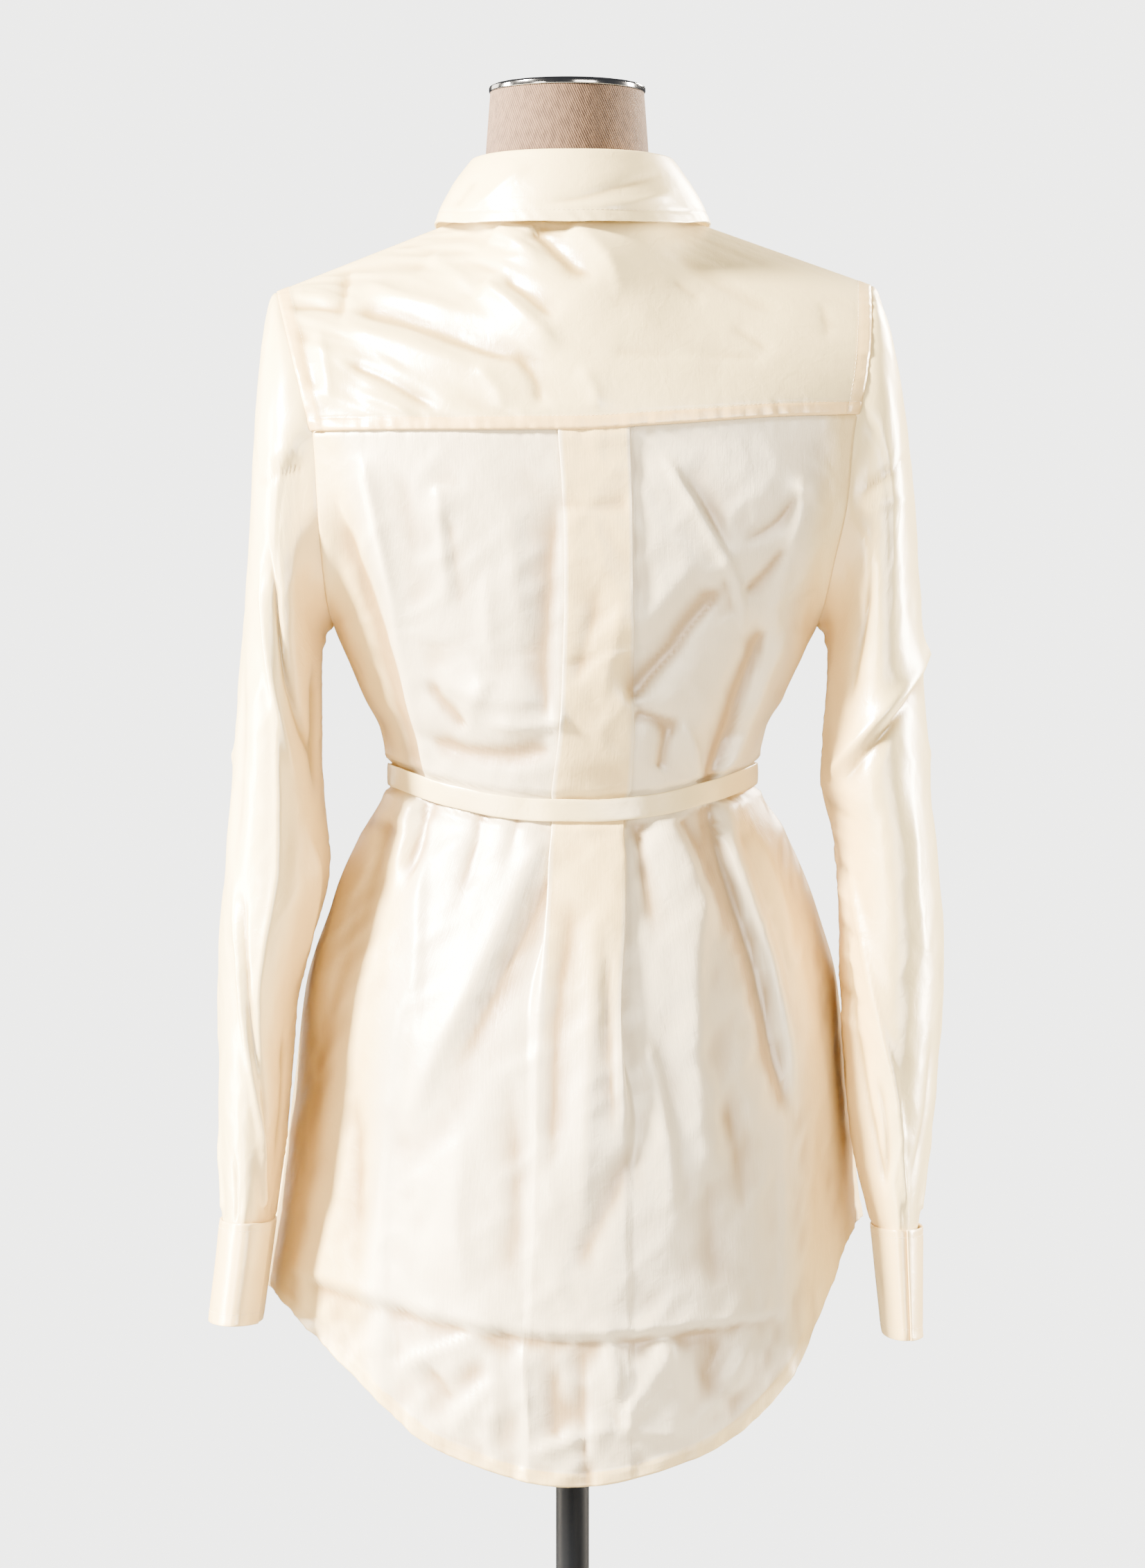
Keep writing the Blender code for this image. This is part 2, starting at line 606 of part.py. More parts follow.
def resampled(loop, lowest, count):
    """Points of a closed line, evenly spaced from its start to its lowest place and back."""
    closed = np.vstack([loop, loop[:1]])
    steps = np.concatenate([[0.0], np.cumsum(np.linalg.norm(np.diff(closed, axis=0), axis=1))])
    half = count // 2
    down = np.linspace(0, steps[lowest], half, endpoint=False)
    up = np.linspace(steps[lowest], steps[-1], half, endpoint=False)
    marks = np.concatenate([down, up])
    return np.stack([np.interp(marks, steps, closed[:, i]) for i in range(3)], axis=-1)


def sleeve_ring(side, z, turn):
    """Points of the sleeve's oval section: turn 0 is outside, pi/2 behind, pi beside the body."""
    table = SLEEVES[side]
    x = table.at("x", z) + table.at("half_width", z) * np.cos(turn)
    y = table.at("y", z) + table.at("half_depth", z) * np.sin(turn)
    return np.stack([side * x, y, np.broadcast_to(z, x.shape)], axis=-1)


def sleeve_grid(side, around=18, cap_rows=7, arm_rows=11):
    """Grid of a sleeve: curves from the armhole seam to the first ring, then ring by ring."""
    turn = np.linspace(0, 2 * math.pi, around, endpoint=False)
    loop = armhole_loop(side)
    seam = resampled(loop, 26, around)
    ring = sleeve_ring(side, np.full(around, SLEEVE_TOP_RING), turn)
    leave = np.stack([side * np.ones(around), 0.15 * np.sin(turn), -0.35 + 0.40 * np.cos(turn)], axis=-1)
    leave /= np.linalg.norm(leave, axis=1, keepdims=True)
    seam = seam + leave * 0.0012
    reach = (0.0115 + 0.0035 * np.cos(turn) + 0.0185 * np.abs(np.sin(turn)))[:, None]
    rise = np.linalg.norm(seam - ring, axis=1)[:, None] * np.array([0.0, 0.0, 0.40])
    rise[:, 0] -= side * SLEEVE_HOLLOW[side] * (1 + np.cos(turn)) / 2
    t = np.linspace(0, 1, cap_rows, endpoint=False)[:, None] * np.ones(around)
    cap = bezier(seam, seam + leave * reach, ring + rise, ring, t)
    heights = np.linspace(SLEEVE_TOP_RING, SLEEVE_END[side], arm_rows)
    arm = np.stack([sleeve_ring(side, np.full(around, z), turn) for z in heights])
    return np.concatenate([cap, arm])


def cuff_grid(side, around=20, rows=3):
    """Grid of a cuff: a band that laps over itself at its slit."""
    low = dict(zip(CUFF_COLUMNS, CUFF_LOW[side]))
    table = SLEEVES[side]
    top_z = SLEEVE_END[side]
    slit = math.radians(CUFF_SLIT_DEGREES[side])
    turn = slit + np.linspace(0, 2 * math.pi + math.radians(CUFF_LAP_DEGREES), around)
    lift = CUFF_LAP_LIFT * ease((turn - slit - math.radians(280)) / math.radians(60))
    t = np.linspace(0, 1, rows)[:, None]
    z = (top_z - SEAM_GAP - 0.0002) * (1 - t) + low["z"] * t
    size = {
        name: float(table.at(name, top_z)) * (1 - t) + low[name] * t
        for name in ("x", "half_width", "y", "half_depth")
    }
    x = size["x"] + (size["half_width"] + 0.0006 + lift) * np.cos(turn)
    y = size["y"] + (size["half_depth"] + 0.0006 + lift) * np.sin(turn)
    return np.stack([side * x, y, np.broadcast_to(z, x.shape)], axis=-1)


# ---- collar ------------------------------------------------------------------------------------

COLLAR_END = math.radians(172)  # how far round from the centre back each half of the collar goes
COLLAR_LEVELS = Table(
    ("turn", "stand_z", "crest_z", "edge_z", "edge_out"),
    (
        (0, 1.4415, 1.4470, 1.3985, 0.0220),
        (50, 1.4425, 1.4475, 1.4010, 0.0240),
        (85, 1.4420, 1.4475, 1.4060, 0.0270),
        (110, 1.4370, 1.4420, 1.4040, 0.0290),
        (140, 1.4200, 1.4250, 1.3800, 0.0300),
        (160, 1.4080, 1.4125, 1.3560, 0.0290),
        (172, 1.4020, 1.4065, 1.3480, 0.0260),
    ),
)
COLLAR_SPREAD = 0.020  # how far the collar points lie beyond the ends of the fold


def stand_grid(around=25):
    """Grid of the collar stand: a band that rises from just inside the neckline."""
    turn = np.linspace(-COLLAR_END, COLLAR_END, around)
    foot = neckline(turn)
    foot[:, :2] -= np.stack([np.sin(turn), np.cos(turn)], axis=-1) * 0.0020
    foot[:, 2] += 0.0005 + 0.0012 * ease((np.abs(turn) - 1.8) / 0.9)
    head = foot.copy()
    head[:, 2] = COLLAR_LEVELS.at("stand_z", np.abs(np.degrees(turn)))
    t = np.linspace(0, 1, 3)[:, None, None]
    return foot * (1 - t) + head * t


def leaf_grid(around=27):
    """Grid of the collar leaf: up over the stand, round the fold and out to its edge."""
    turn = np.linspace(-COLLAR_END, COLLAR_END, around)
    degrees = np.abs(np.degrees(turn))
    out = np.stack([np.sin(turn), np.cos(turn), 0 * turn], axis=-1)
    stand = stand_grid(around)[-1]
    crest_z = COLLAR_LEVELS.at("crest_z", degrees)
    start = stand.copy()
    start[:, 2] += DOUBLE_CLOTH / 2 + SEAM_GAP
    crest = stand + out * 0.0020
    crest[:, 2] = crest_z
    turned_over = stand + out * 0.0048
    turned_over[:, 2] = crest_z - 0.0022
    edge = stand + out * COLLAR_LEVELS.at("edge_out", degrees)[:, None]
    edge[:, 2] = COLLAR_LEVELS.at("edge_z", degrees)
    edge[:, 0] += np.sign(turn) * COLLAR_SPREAD * ease((degrees - 130) / 42)
    rows = [start, crest, turned_over]
    for t in (0.35, 0.68, 1.0):
        rows.append(turned_over * (1 - t) + edge * t + out * 0.0025 * math.sin(math.pi * t))
    return np.stack(rows)


# ---- belt --------------------------------------------------------------------------------------


def belt_grid(back_columns_count=34, front_columns_count=24):
    """Closed band round the waist, carried out over the pleat behind and the placket in front."""
    half = BELT_DEPTH / 2
    rows = []
    for level in (-half, half):
        back_share = np.linspace(1, -1, back_columns_count, endpoint=False)
        front_share = np.linspace(-1, 1, front_columns_count, endpoint=False)
        back, back_out = trunk(1, back_share, belt_height(1, back_share) + level)
        front, front_out = trunk(-1, front_share, belt_height(-1, front_share) + level)
        over_pleat = ease((0.045 - np.abs(back[:, 0] + 0.0115)) / 0.020)
        over_placket = ease((0.034 - np.abs(front[:, 0])) / 0.016)
        back = back + back_out * (BELT_CLEARANCE + 0.0014 * over_pleat)[:, None]
        front = front + front_out * (BELT_CLEARANCE + 0.0046 * over_placket)[:, None]
        rows.append(np.concatenate([back, front]))
    return np.stack(rows)


KNOT_SHARE = 0.36
KNOT_GAP = 0.0008  # the knot's flat back stands clear of the curved band
KNOT_SIZE = (0.030, 0.015, 0.024)
KNOT_ROUND = 0.0070
TAIL_LENGTH = 0.27
TAIL_LIFT = 0.0045  # middle of a belt end to the middle of the cloth that it lies on
TAIL_COLUMNS = ("top_share", "low_share", "top_lift")
TAILS = {"belt_tail_right": (0.335, 0.235, 0.0080), "belt_tail_left": (0.385, 0.420, 0.0045)}


def tail_grid(tail, rows=10):
    """Grid of one end of the belt, which hangs from the knot and lies on the left front."""
    place = dict(zip(TAIL_COLUMNS, tail))
    t = np.linspace(0, 1, rows)[:, None]
    middle = place["top_share"] + (place["low_share"] - place["top_share"]) * ease(t * 1.2)
    belt = belt_height(-1, np.full(1, KNOT_SHARE))[0]
    z = belt - KNOT_SIZE[2] / 2 - SEAM_GAP - TAIL_LENGTH * t
    centre, out = trunk(-1, middle, z)
    lift = TAIL_LIFT + (place["top_lift"] - TAIL_LIFT) * ease(1 - 1.8 * t)
    across = np.stack([out[..., 1], -out[..., 0], 0 * z], axis=-1)
    half = np.array([-0.5, 0.5]) * BELT_DEPTH
    return centre + out * lift[..., None] + across * half[None, :, None]


# ---- building ----------------------------------------------------------------------------------


def build_body(collection):
    panel = material("panel_satin", PANEL_SATIN)
    satin = material("satin", SATIN)
    cloth_wall("back_panel", back_grid(), collection, panel)
    share = np.broadcast_to(np.linspace(-1, 1, 23), (8, 23))
    t = np.broadcast_to(np.linspace(0, 1, 8)[:, None], share.shape)
    cloth_wall("back_yoke", yoke_point(share, t), collection, satin)
    wide = np.linspace(LAP_SHARE, 1, 17)
    left = np.concatenate([np.linspace(-LAP_SHARE, LAP_SHARE, 5)[:-1], wide])
    cloth_wall("front_left", front_grid(left), collection, satin)
    right = np.concatenate([-wide[::-1], np.linspace(-LAP_SHARE, RIGHT_EDGE_SHARE, 5)[1:]])
    lift = RIGHT_LIFT * ease((right + RIGHT_RISE_SHARE) / (RIGHT_RISE_SHARE - LAP_SHARE - 0.01))
    cloth_wall("front_right", front_grid(right, lift=lift), collection, satin)
    strip = np.linspace(-PLACKET_SHARE, PLACKET_SHARE, 5)
    cloth_wall("button_placket", front_grid(strip, lift=PLACKET_LIFT), collection, satin, DOUBLE_CLOTH)


def build_sleeves(collection):
    satin = material("sleeve_satin", SATIN)
    for side, name in ((1, "left"), (-1, "right")):
        cloth_wall(f"sleeve_{name}", sleeve_grid(side), collection, satin, wrap=True)
        cloth_wall(f"cuff_{name}", cuff_grid(side), collection, satin, DOUBLE_CLOTH)


def build_collar(collection):
    satin = material("collar_satin", SATIN)
    cloth_wall("collar_stand", stand_grid(), collection, satin, DOUBLE_CLOTH)
    cloth_wall("collar_leaf", leaf_grid(), collection, satin, DOUBLE_CLOTH)


def build_belt(collection):
    satin = material("belt_satin", SATIN)
    cloth_wall("belt_band", belt_grid(), collection, satin, BELT_CLOTH, wrap=True)
    for name, tail in TAILS.items():
        cloth_wall(name, tail_grid(tail), collection, satin, BELT_CLOTH)
    share = np.full(1, KNOT_SHARE)
    height = belt_height(-1, share)
    centre, out = trunk(-1, share, height)
    place = centre[0] + out[0] * (BELT_CLEARANCE + BELT_CLOTH / 2 + KNOT_GAP + KNOT_SIZE[1] / 2)
    mesh = bpy.data.meshes.new("belt_knot")
    shape = bmesh.new()
    bmesh.ops.create_cube(shape, size=1.0)
    bmesh.ops.scale(shape, vec=KNOT_SIZE, verts=shape.verts)
    shape.to_mesh(mesh)
    shape.free()
    knot = finished(mesh, "belt_knot", collection, satin)
    knot.location = place
    knot.rotation_euler = (0.0, 0.0, math.atan2(out[0][0], -out[0][1]))
    bevel = knot.modifiers.new("round", "BEVEL")
    bevel.width = KNOT_ROUND
    bevel.segments = 3


def build_buttons(collection):
    """Buttons down the placket, each on the plane that just clears the cloth under it."""
    pearl = material("button_pearl", PEARL)
    line = front_grid(np.array([0.0]))[::-1, 0]
    lift = DOUBLE_CLOTH / 2 + SEAM_GAP + BUTTON_THICKNESS / 2
    heights = np.linspace(TOP_BUTTON_Z, LOW_BUTTON_Z, BUTTON_COUNT)
    heights[np.abs(heights - BELT_FRONT) < BUTTON_BELT_CLEARANCE] = BELT_FRONT + BUTTON_ABOVE_BELT
    span = np.linspace(-BUTTON_RADIUS, BUTTON_RADIUS, 9)
    for number, height in enumerate(heights, start=1):
        y = np.interp(height + span, line[:, 2], line[:, 1])
        slope = (y[-1] - y[0]) / (2 * BUTTON_RADIUS)
        seat = (y - slope * span).min() - PLACKET_LIFT
        tilt = math.atan(slope)
        mesh = bpy.data.meshes.new(f"button_{number}")
        shape = bmesh.new()
        bmesh.ops.create_cone(
            shape,
            cap_ends=True,
            segments=16,
            radius1=BUTTON_RADIUS,
            radius2=BUTTON_RADIUS,
            depth=BUTTON_THICKNESS,
        )
        shape.to_mesh(mesh)
        shape.free()
        button = finished(mesh, f"button_{number}", collection, pearl)
        button.rotation_euler = (math.pi / 2 - tilt, 0.0, 0.0)
        button.location = (0.0, seat - lift / math.cos(tilt), height)


def build_form(collection):
    linen = material("form_linen", LINEN)
    chrome = material("neck_chrome", CHROME, metallic=1.0)
    steel = material("pole_steel", DARK_STEEL, metallic=0.9)
    heights = np.array(sorted(set(FORM.values["z"]) | {0.800, 1.060, 1.330, 1.403, 1.425}))
    turn = np.linspace(0, 2 * math.pi, FORM_RING, endpoint=False)
    z = heights[:, None] * np.ones(FORM_RING)
    depth = np.where(np.sin(turn) >= 0, FORM.at("back", z), FORM.at("front", z))
    centre = NECK_LEAN * ease((z - 1.25) / 0.16)
    points = np.stack([centre + FORM.at("half_width", z) * np.cos(turn), depth * np.sin(turn), z], axis=-1)
    closed_loft("form_torso", points, collection, linen)
    low = NECK_TOP + SEAM_GAP
    top = low + CAP_THICKNESS
    cap_profile = [
        (0.0, top + 0.0020),
        (0.020, top + 0.0015),
        (CAP_RADIUS - 0.004, top),
        (CAP_RADIUS, top - 0.0015),
        (CAP_RADIUS, low),
        (0.0, low),
    ]
    cap = turned("neck_cap", cap_profile, collection, chrome)
    cap.location.x = NECK_LEAN
    base_profile = [
        (0.0, HUB_TOP),
        (POLE_RADIUS + 0.005, HUB_TOP),
        (POLE_RADIUS + 0.007, HUB_TOP - 0.002),
        (HUB_RADIUS, BASE_THICKNESS + 0.004),
        (HUB_RADIUS + 0.006, BASE_THICKNESS),
        (BASE_RADIUS - 0.006, BASE_THICKNESS - 0.002),
        (BASE_RADIUS, BASE_THICKNESS - 0.006),
        (BASE_RADIUS, 0.0),
        (0.0, 0.0),
    ]
    turned("stand_base", base_profile, collection, steel)
    bottom = HUB_TOP + SEAM_GAP
    end = float(FORM.values["z"][0]) - SEAM_GAP
    pole_profile = [(0.0, end), (POLE_RADIUS, end), (POLE_RADIUS, bottom), (0.0, bottom)]
    turned("stand_pole", pole_profile, collection, steel, steps=20)


def main():
    clear_scene()
    collection = bpy.data.collections.new("maternity_blouse")
    bpy.context.scene.collection.children.link(collection)
    build_body(collection)
    build_sleeves(collection)
    build_collar(collection)
    build_belt(collection)
    build_buttons(collection)
    build_form(collection)


main()
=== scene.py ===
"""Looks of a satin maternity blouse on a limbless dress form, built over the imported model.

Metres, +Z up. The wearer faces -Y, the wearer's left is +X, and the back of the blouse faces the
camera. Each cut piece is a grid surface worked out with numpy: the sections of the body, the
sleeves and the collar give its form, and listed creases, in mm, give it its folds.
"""

import logging
import math
from dataclasses import dataclass
from enum import IntEnum

import bmesh
import bpy
import numpy as np
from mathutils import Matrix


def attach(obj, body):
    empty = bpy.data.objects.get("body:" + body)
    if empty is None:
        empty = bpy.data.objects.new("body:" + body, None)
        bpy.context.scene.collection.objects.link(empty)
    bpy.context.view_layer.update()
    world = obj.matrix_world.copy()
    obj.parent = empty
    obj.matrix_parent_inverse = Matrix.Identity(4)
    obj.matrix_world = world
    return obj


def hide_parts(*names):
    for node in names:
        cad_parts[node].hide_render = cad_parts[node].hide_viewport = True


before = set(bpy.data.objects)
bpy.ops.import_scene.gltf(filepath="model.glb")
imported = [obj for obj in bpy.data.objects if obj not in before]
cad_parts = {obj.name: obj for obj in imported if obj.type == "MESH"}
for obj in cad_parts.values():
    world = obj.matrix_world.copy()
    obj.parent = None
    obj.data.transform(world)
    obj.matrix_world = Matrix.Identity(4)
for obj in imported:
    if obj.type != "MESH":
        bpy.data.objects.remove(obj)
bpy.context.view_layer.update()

log = logging.getLogger("blouse")

MM = 0.001
CLOTH_MAP = "cloth"  # UV map of every cloth piece: across and down the cloth, in metres
HOLLOW = "hollow"  # how deep in a fold a point lies: 0 on the open cloth, 1 at the bottom; it sets how much painted shade darkens the cloth there
TONE = "tone"  # which colour of the cloth shows: 0 its open one, 1 its warm one: layered cloth's own colour, and painted golden shade on the sleeves' inner sides and partly on the back's sides

# Folds, in mm where not said. Each side of one is at least NARROWEST_FOLD wide, as the grids can
# show nothing narrower, and its height is left out past FOLD_REACH widths from its line.
NARROWEST_FOLD = 4.5
FOLD_REACH = 3.4
SHARPNESS = 1.6  # how fast a fold falls away from its line
ROUNDING = 0.04  # how rounded its crest is: the square of a share of its width
# DEEPEST_FOLD, DEEPEST_LOCALLY and OPEN_CLOTH set how hollow each point is, and with it the painted
# shade of its fold
DEEPEST_FOLD = 16.0
DEEPEST_LOCALLY = 2.3
OPEN_CLOTH = 0.12

SPAN_PASSES = 130  # evening-out of the body's pieces down the cloth, where it spans hollows
SEAM_DENT = 0.7  # mm that the side seams pull in
HEM_STEP = 0.35  # mm that a turned-up hem is thicker
HEM_STITCH = 0.8  # mm from the hem band's upper edge to its stitches
EDGE_STITCH_LIFT = 0.72 * MM  # of the thread on stiffened pieces

Array = np.ndarray
Piece = bpy.types.Object
Finish = bpy.types.Material
Tree = bpy.types.NodeTree
Socket = bpy.types.NodeSocket


class Side(IntEnum):
    """Side of the wearer, as the sign of X."""

    LEFT = 1
    RIGHT = -1


class Face(IntEnum):
    """Back or front of the blouse, as the sign of Y."""

    BACK = 1
    FRONT = -1


# ---- curves and fields ----


def ease(t: Array) -> Array:
    """0 below 0, 1 above 1, and 3t^2 - 2t^3 between."""
    t = np.clip(t, 0.0, 1.0)
    return t * t * (3 - 2 * t)


def through(places: Array, values: Array, position: Array) -> Array:
    """Reads a smooth curve that never overshoots its points.

    Cubic between neighbouring points, with the harmonic mean of the slopes on both sides at each
    point, and level beyond both ends.

    Args:
        places: rising positions of the points.
        values: value at each point.
        position: where to read the curve.

    Returns:
        The curve's value at each position.
    """
    rise = np.diff(values) / np.diff(places)
    turns = rise[1:] * rise[:-1] <= 0
    both = np.where(turns, 1.0, rise[1:] + rise[:-1])
    middle = np.where(turns, 0.0, 2 * rise[1:] * rise[:-1] / both)
    slope = np.concatenate([rise[:1], middle, rise[-1:]])
    position = np.clip(position, places[0], places[-1])
    low = np.clip(np.searchsorted(places, position) - 1, 0, len(places) - 2)
    step = places[low + 1] - places[low]
    t = (position - places[low]) / step
    start = values[low] * (1 + 2 * t) + step * slope[low] * t
    end = values[low + 1] * (3 - 2 * t) + step * slope[low + 1] * (t - 1)
    return start * (1 - t) ** 2 + end * t**2


class Table:
    """Rows of sizes with named columns; the first column is the one that is looked up."""

    def __init__(self, text: str) -> None:
        """Reads a line of names and then the rows, sorted by their first column."""
        names, *rows = (line.split() for line in text.strip().splitlines())
        ordered = np.array(sorted([float(size) for size in row] for row in rows))
        self.values = dict(zip(names, ordered.T))
        self.key = names[0]

    def at(self, column: str, position: Array) -> Array:
        """Value of a column at a position, on the smooth curve through the rows."""
        return through(self.values[self.key], self.values[column], position)


def bezier(first, second, third, last, t: Array) -> Array:
    """Points of cubic curves with the given four control points, at t."""
    t = t[..., None]
    near = first * (1 - t) ** 3 + 3 * second * t * (1 - t) ** 2
    return near + 3 * third * t**2 * (1 - t) + last * t**3


def spline(controls: Array, t: Array) -> Array:
    """Points at t (0 to 1) of the curve through control points that lie along the first axis.

    Between two neighbours it is the cubic whose slope at each point is half the step between the
    points on both sides of it.
    """
    before, after = 2 * controls[:1] - controls[1:2], 2 * controls[-1:] - controls[-2:-1]
    padded = np.concatenate([before, controls, after])
    place = np.clip(t, 0, 1) * (len(controls) - 1)
    low = np.minimum(place.astype(int), len(controls) - 2)
    f = (place - low).reshape((-1,) + (1,) * (controls.ndim - 1))
    a, b, c, d = (padded[low + k] for k in range(4))
    square, cube = 2 * a - 5 * b + 4 * c - d, 3 * b - a - 3 * c + d
    return b + f * (c - a) / 2 + f**2 * square / 2 + f**3 * cube / 2


def uneven(u: Array, v: Array, seed: int) -> Array:
    """Smooth uneven field, -1 to 1: a random height at each whole (u, v), eased between them."""
    size = 97
    heights = np.random.default_rng(seed).uniform(-1, 1, (size, size))
    iu, iv = np.floor(u).astype(int), np.floor(v).astype(int)
    fu, fv = ease(u - iu), ease(v - iv)
    iu, iv, ju, jv = iu % size, iv % size, (iu + 1) % size, (iv + 1) % size
    near = heights[iu, iv] * (1 - fv) + heights[iu, jv] * fv
    far = heights[ju, iv] * (1 - fv) + heights[ju, jv] * fv
    return near * (1 - fu) + far * fu


def unit(vectors: Array) -> Array:
    """The same directions with a length of 1."""
    return vectors / np.maximum(np.linalg.norm(vectors, axis=-1, keepdims=True), 1e-12)


def smoothed(points: Array, axis: int, passes: int, share: Array) -> Array:
    """A grid of points evened out along one axis, as cloth spans a sharp change of form.

    Each pass moves a point by half its share towards the middle of its two neighbours.

    Args:
        points: grid of points, over rows and columns.
        axis: 0 to even it out down the rows, 1 along the columns.
        passes: number of passes.
        share: 0 where a point stays, 1 where it moves freely.

    Returns:
        The new points.
    """
    made = np.moveaxis(points.copy(), axis, 0)
    free = np.moveaxis(share, axis, 0)[1:-1, :, None] / 2
    for _ in range(passes):
        made[1:-1] += free * ((made[2:] + made[:-2]) / 2 - made[1:-1])
    return np.moveaxis(made, 0, axis)


# ---- creases ----


@dataclass(frozen=True)
class Crease:
    """A fold laid along a smooth line: a ridge where rise is above 0, else a trough.

    line holds (across, up) points in mm. left and right are its widths on both sides, seen along
    the line, in mm. starts and ends are the shares of its length over which it fades in and out.
    least is the smallest width that the cloth bends over, as a share of the rise.
    """

    line: tuple
    rise: float
    left: float = 6.0
    right: float = 6.0
    starts: float = 0.3
    ends: float = 0.3
    least: float = 1.5


def laid(table: str, side: int = 1) -> list:
    """Reads creases from a table: in each row the sizes, a bar, and the points of the line.

    The sizes are rise, left, right, starts, ends and least, as many as aren't the usual ones. A
    row without a bar is a heading. side is -1 where the piece is mirrored.
    """
    made = []
    for sizes, _, line in (row.partition("|") for row in table.splitlines() if "|" in row):
        points = [place.split() for place in line.split(",")]
        line = tuple((side * float(across), float(up)) for across, up in points)
        made.append(Crease(line, *map(float, sizes.split())))
    return made


def crease_height(creases: list, across: Array, up: Array) -> Array:
    """Summed height in mm of creases over points of cloth, given in mm.

    Each crease adds rise * exp(SHARPNESS * (sqrt(ROUNDING) - sqrt(x^2 + ROUNDING))), where x is
    the distance from its line over the width on that side: crisp at the line, soft beyond it. It
    fades towards both ends of the line.
    """
    height = np.zeros(across.shape)
    for crease in creases:
        line = np.array(crease.line, dtype=float)
        path = spline(line, np.linspace(0, 1, 8 * (len(line) - 1) + 1))
        narrowest = max(NARROWEST_FOLD, crease.least * abs(crease.rise))
        reach = FOLD_REACH * max(crease.left, crease.right, narrowest)
        low, high = path.min(axis=0) - reach, path.max(axis=0) + reach
        near = (across > low[0]) & (across < high[0]) & (up > low[1]) & (up < high[1])
        if not near.any():
            continue
        place = np.stack([across[near], up[near]], axis=-1)
        best = np.full(len(place), np.inf)
        hand, along = np.zeros(len(place)), np.zeros(len(place))
        done = 0.0
        for start, step in zip(path[:-1], np.diff(path, axis=0)):
            length = float(np.hypot(*step))
            t = np.clip((place - start) @ step / length**2, 0, 1)
            gap = place - start - t[:, None] * step
            distance = np.hypot(gap[:, 0], gap[:, 1])
            closer = distance < best
            best = np.where(closer, distance, best)
            hand = np.where(closer, step[0] * gap[:, 1] - step[1] * gap[:, 0], hand)
            along = np.where(closer, done + t * length, along)
            done += length
        width = np.maximum(np.where(hand > 0, crease.left, crease.right), narrowest)
        t = along / done
        fade = ease(t / max(crease.starts, 0.01)) * ease((1 - t) / max(crease.ends, 0.01))
        rounded_off = math.sqrt(ROUNDING) - np.sqrt((best / width) ** 2 + ROUNDING)
        height[near] += crease.rise * np.exp(SHARPNESS * rounded_off) * fade
    return height


# ---- cloth grids ----


def grid_faces(rows: int, columns: int, wrap: bool) -> Array:
    """Quads between neighbouring rows and columns of a grid, joined round the columns if wrap."""
    here = np.arange(rows * columns).reshape(rows, columns)
    beside = np.roll(here, -1, axis=1)
    if not wrap:
        here, beside = here[:, :-1], beside[:, :-1]
    return np.stack([here[:-1], beside[:-1], beside[1:], here[1:]], axis=-1).reshape(-1, 4)


def grid_normals(points: Array, wrap: bool) -> Array:
    """Unit normals of a grid: the cross product of its steps down and across."""
    if wrap:
        across = (np.roll(points, -1, axis=1) - np.roll(points, 1, axis=1)) / 2
    else:
        across = np.gradient(points, axis=1)
    return unit(np.cross(np.gradient(points, axis=0), across))


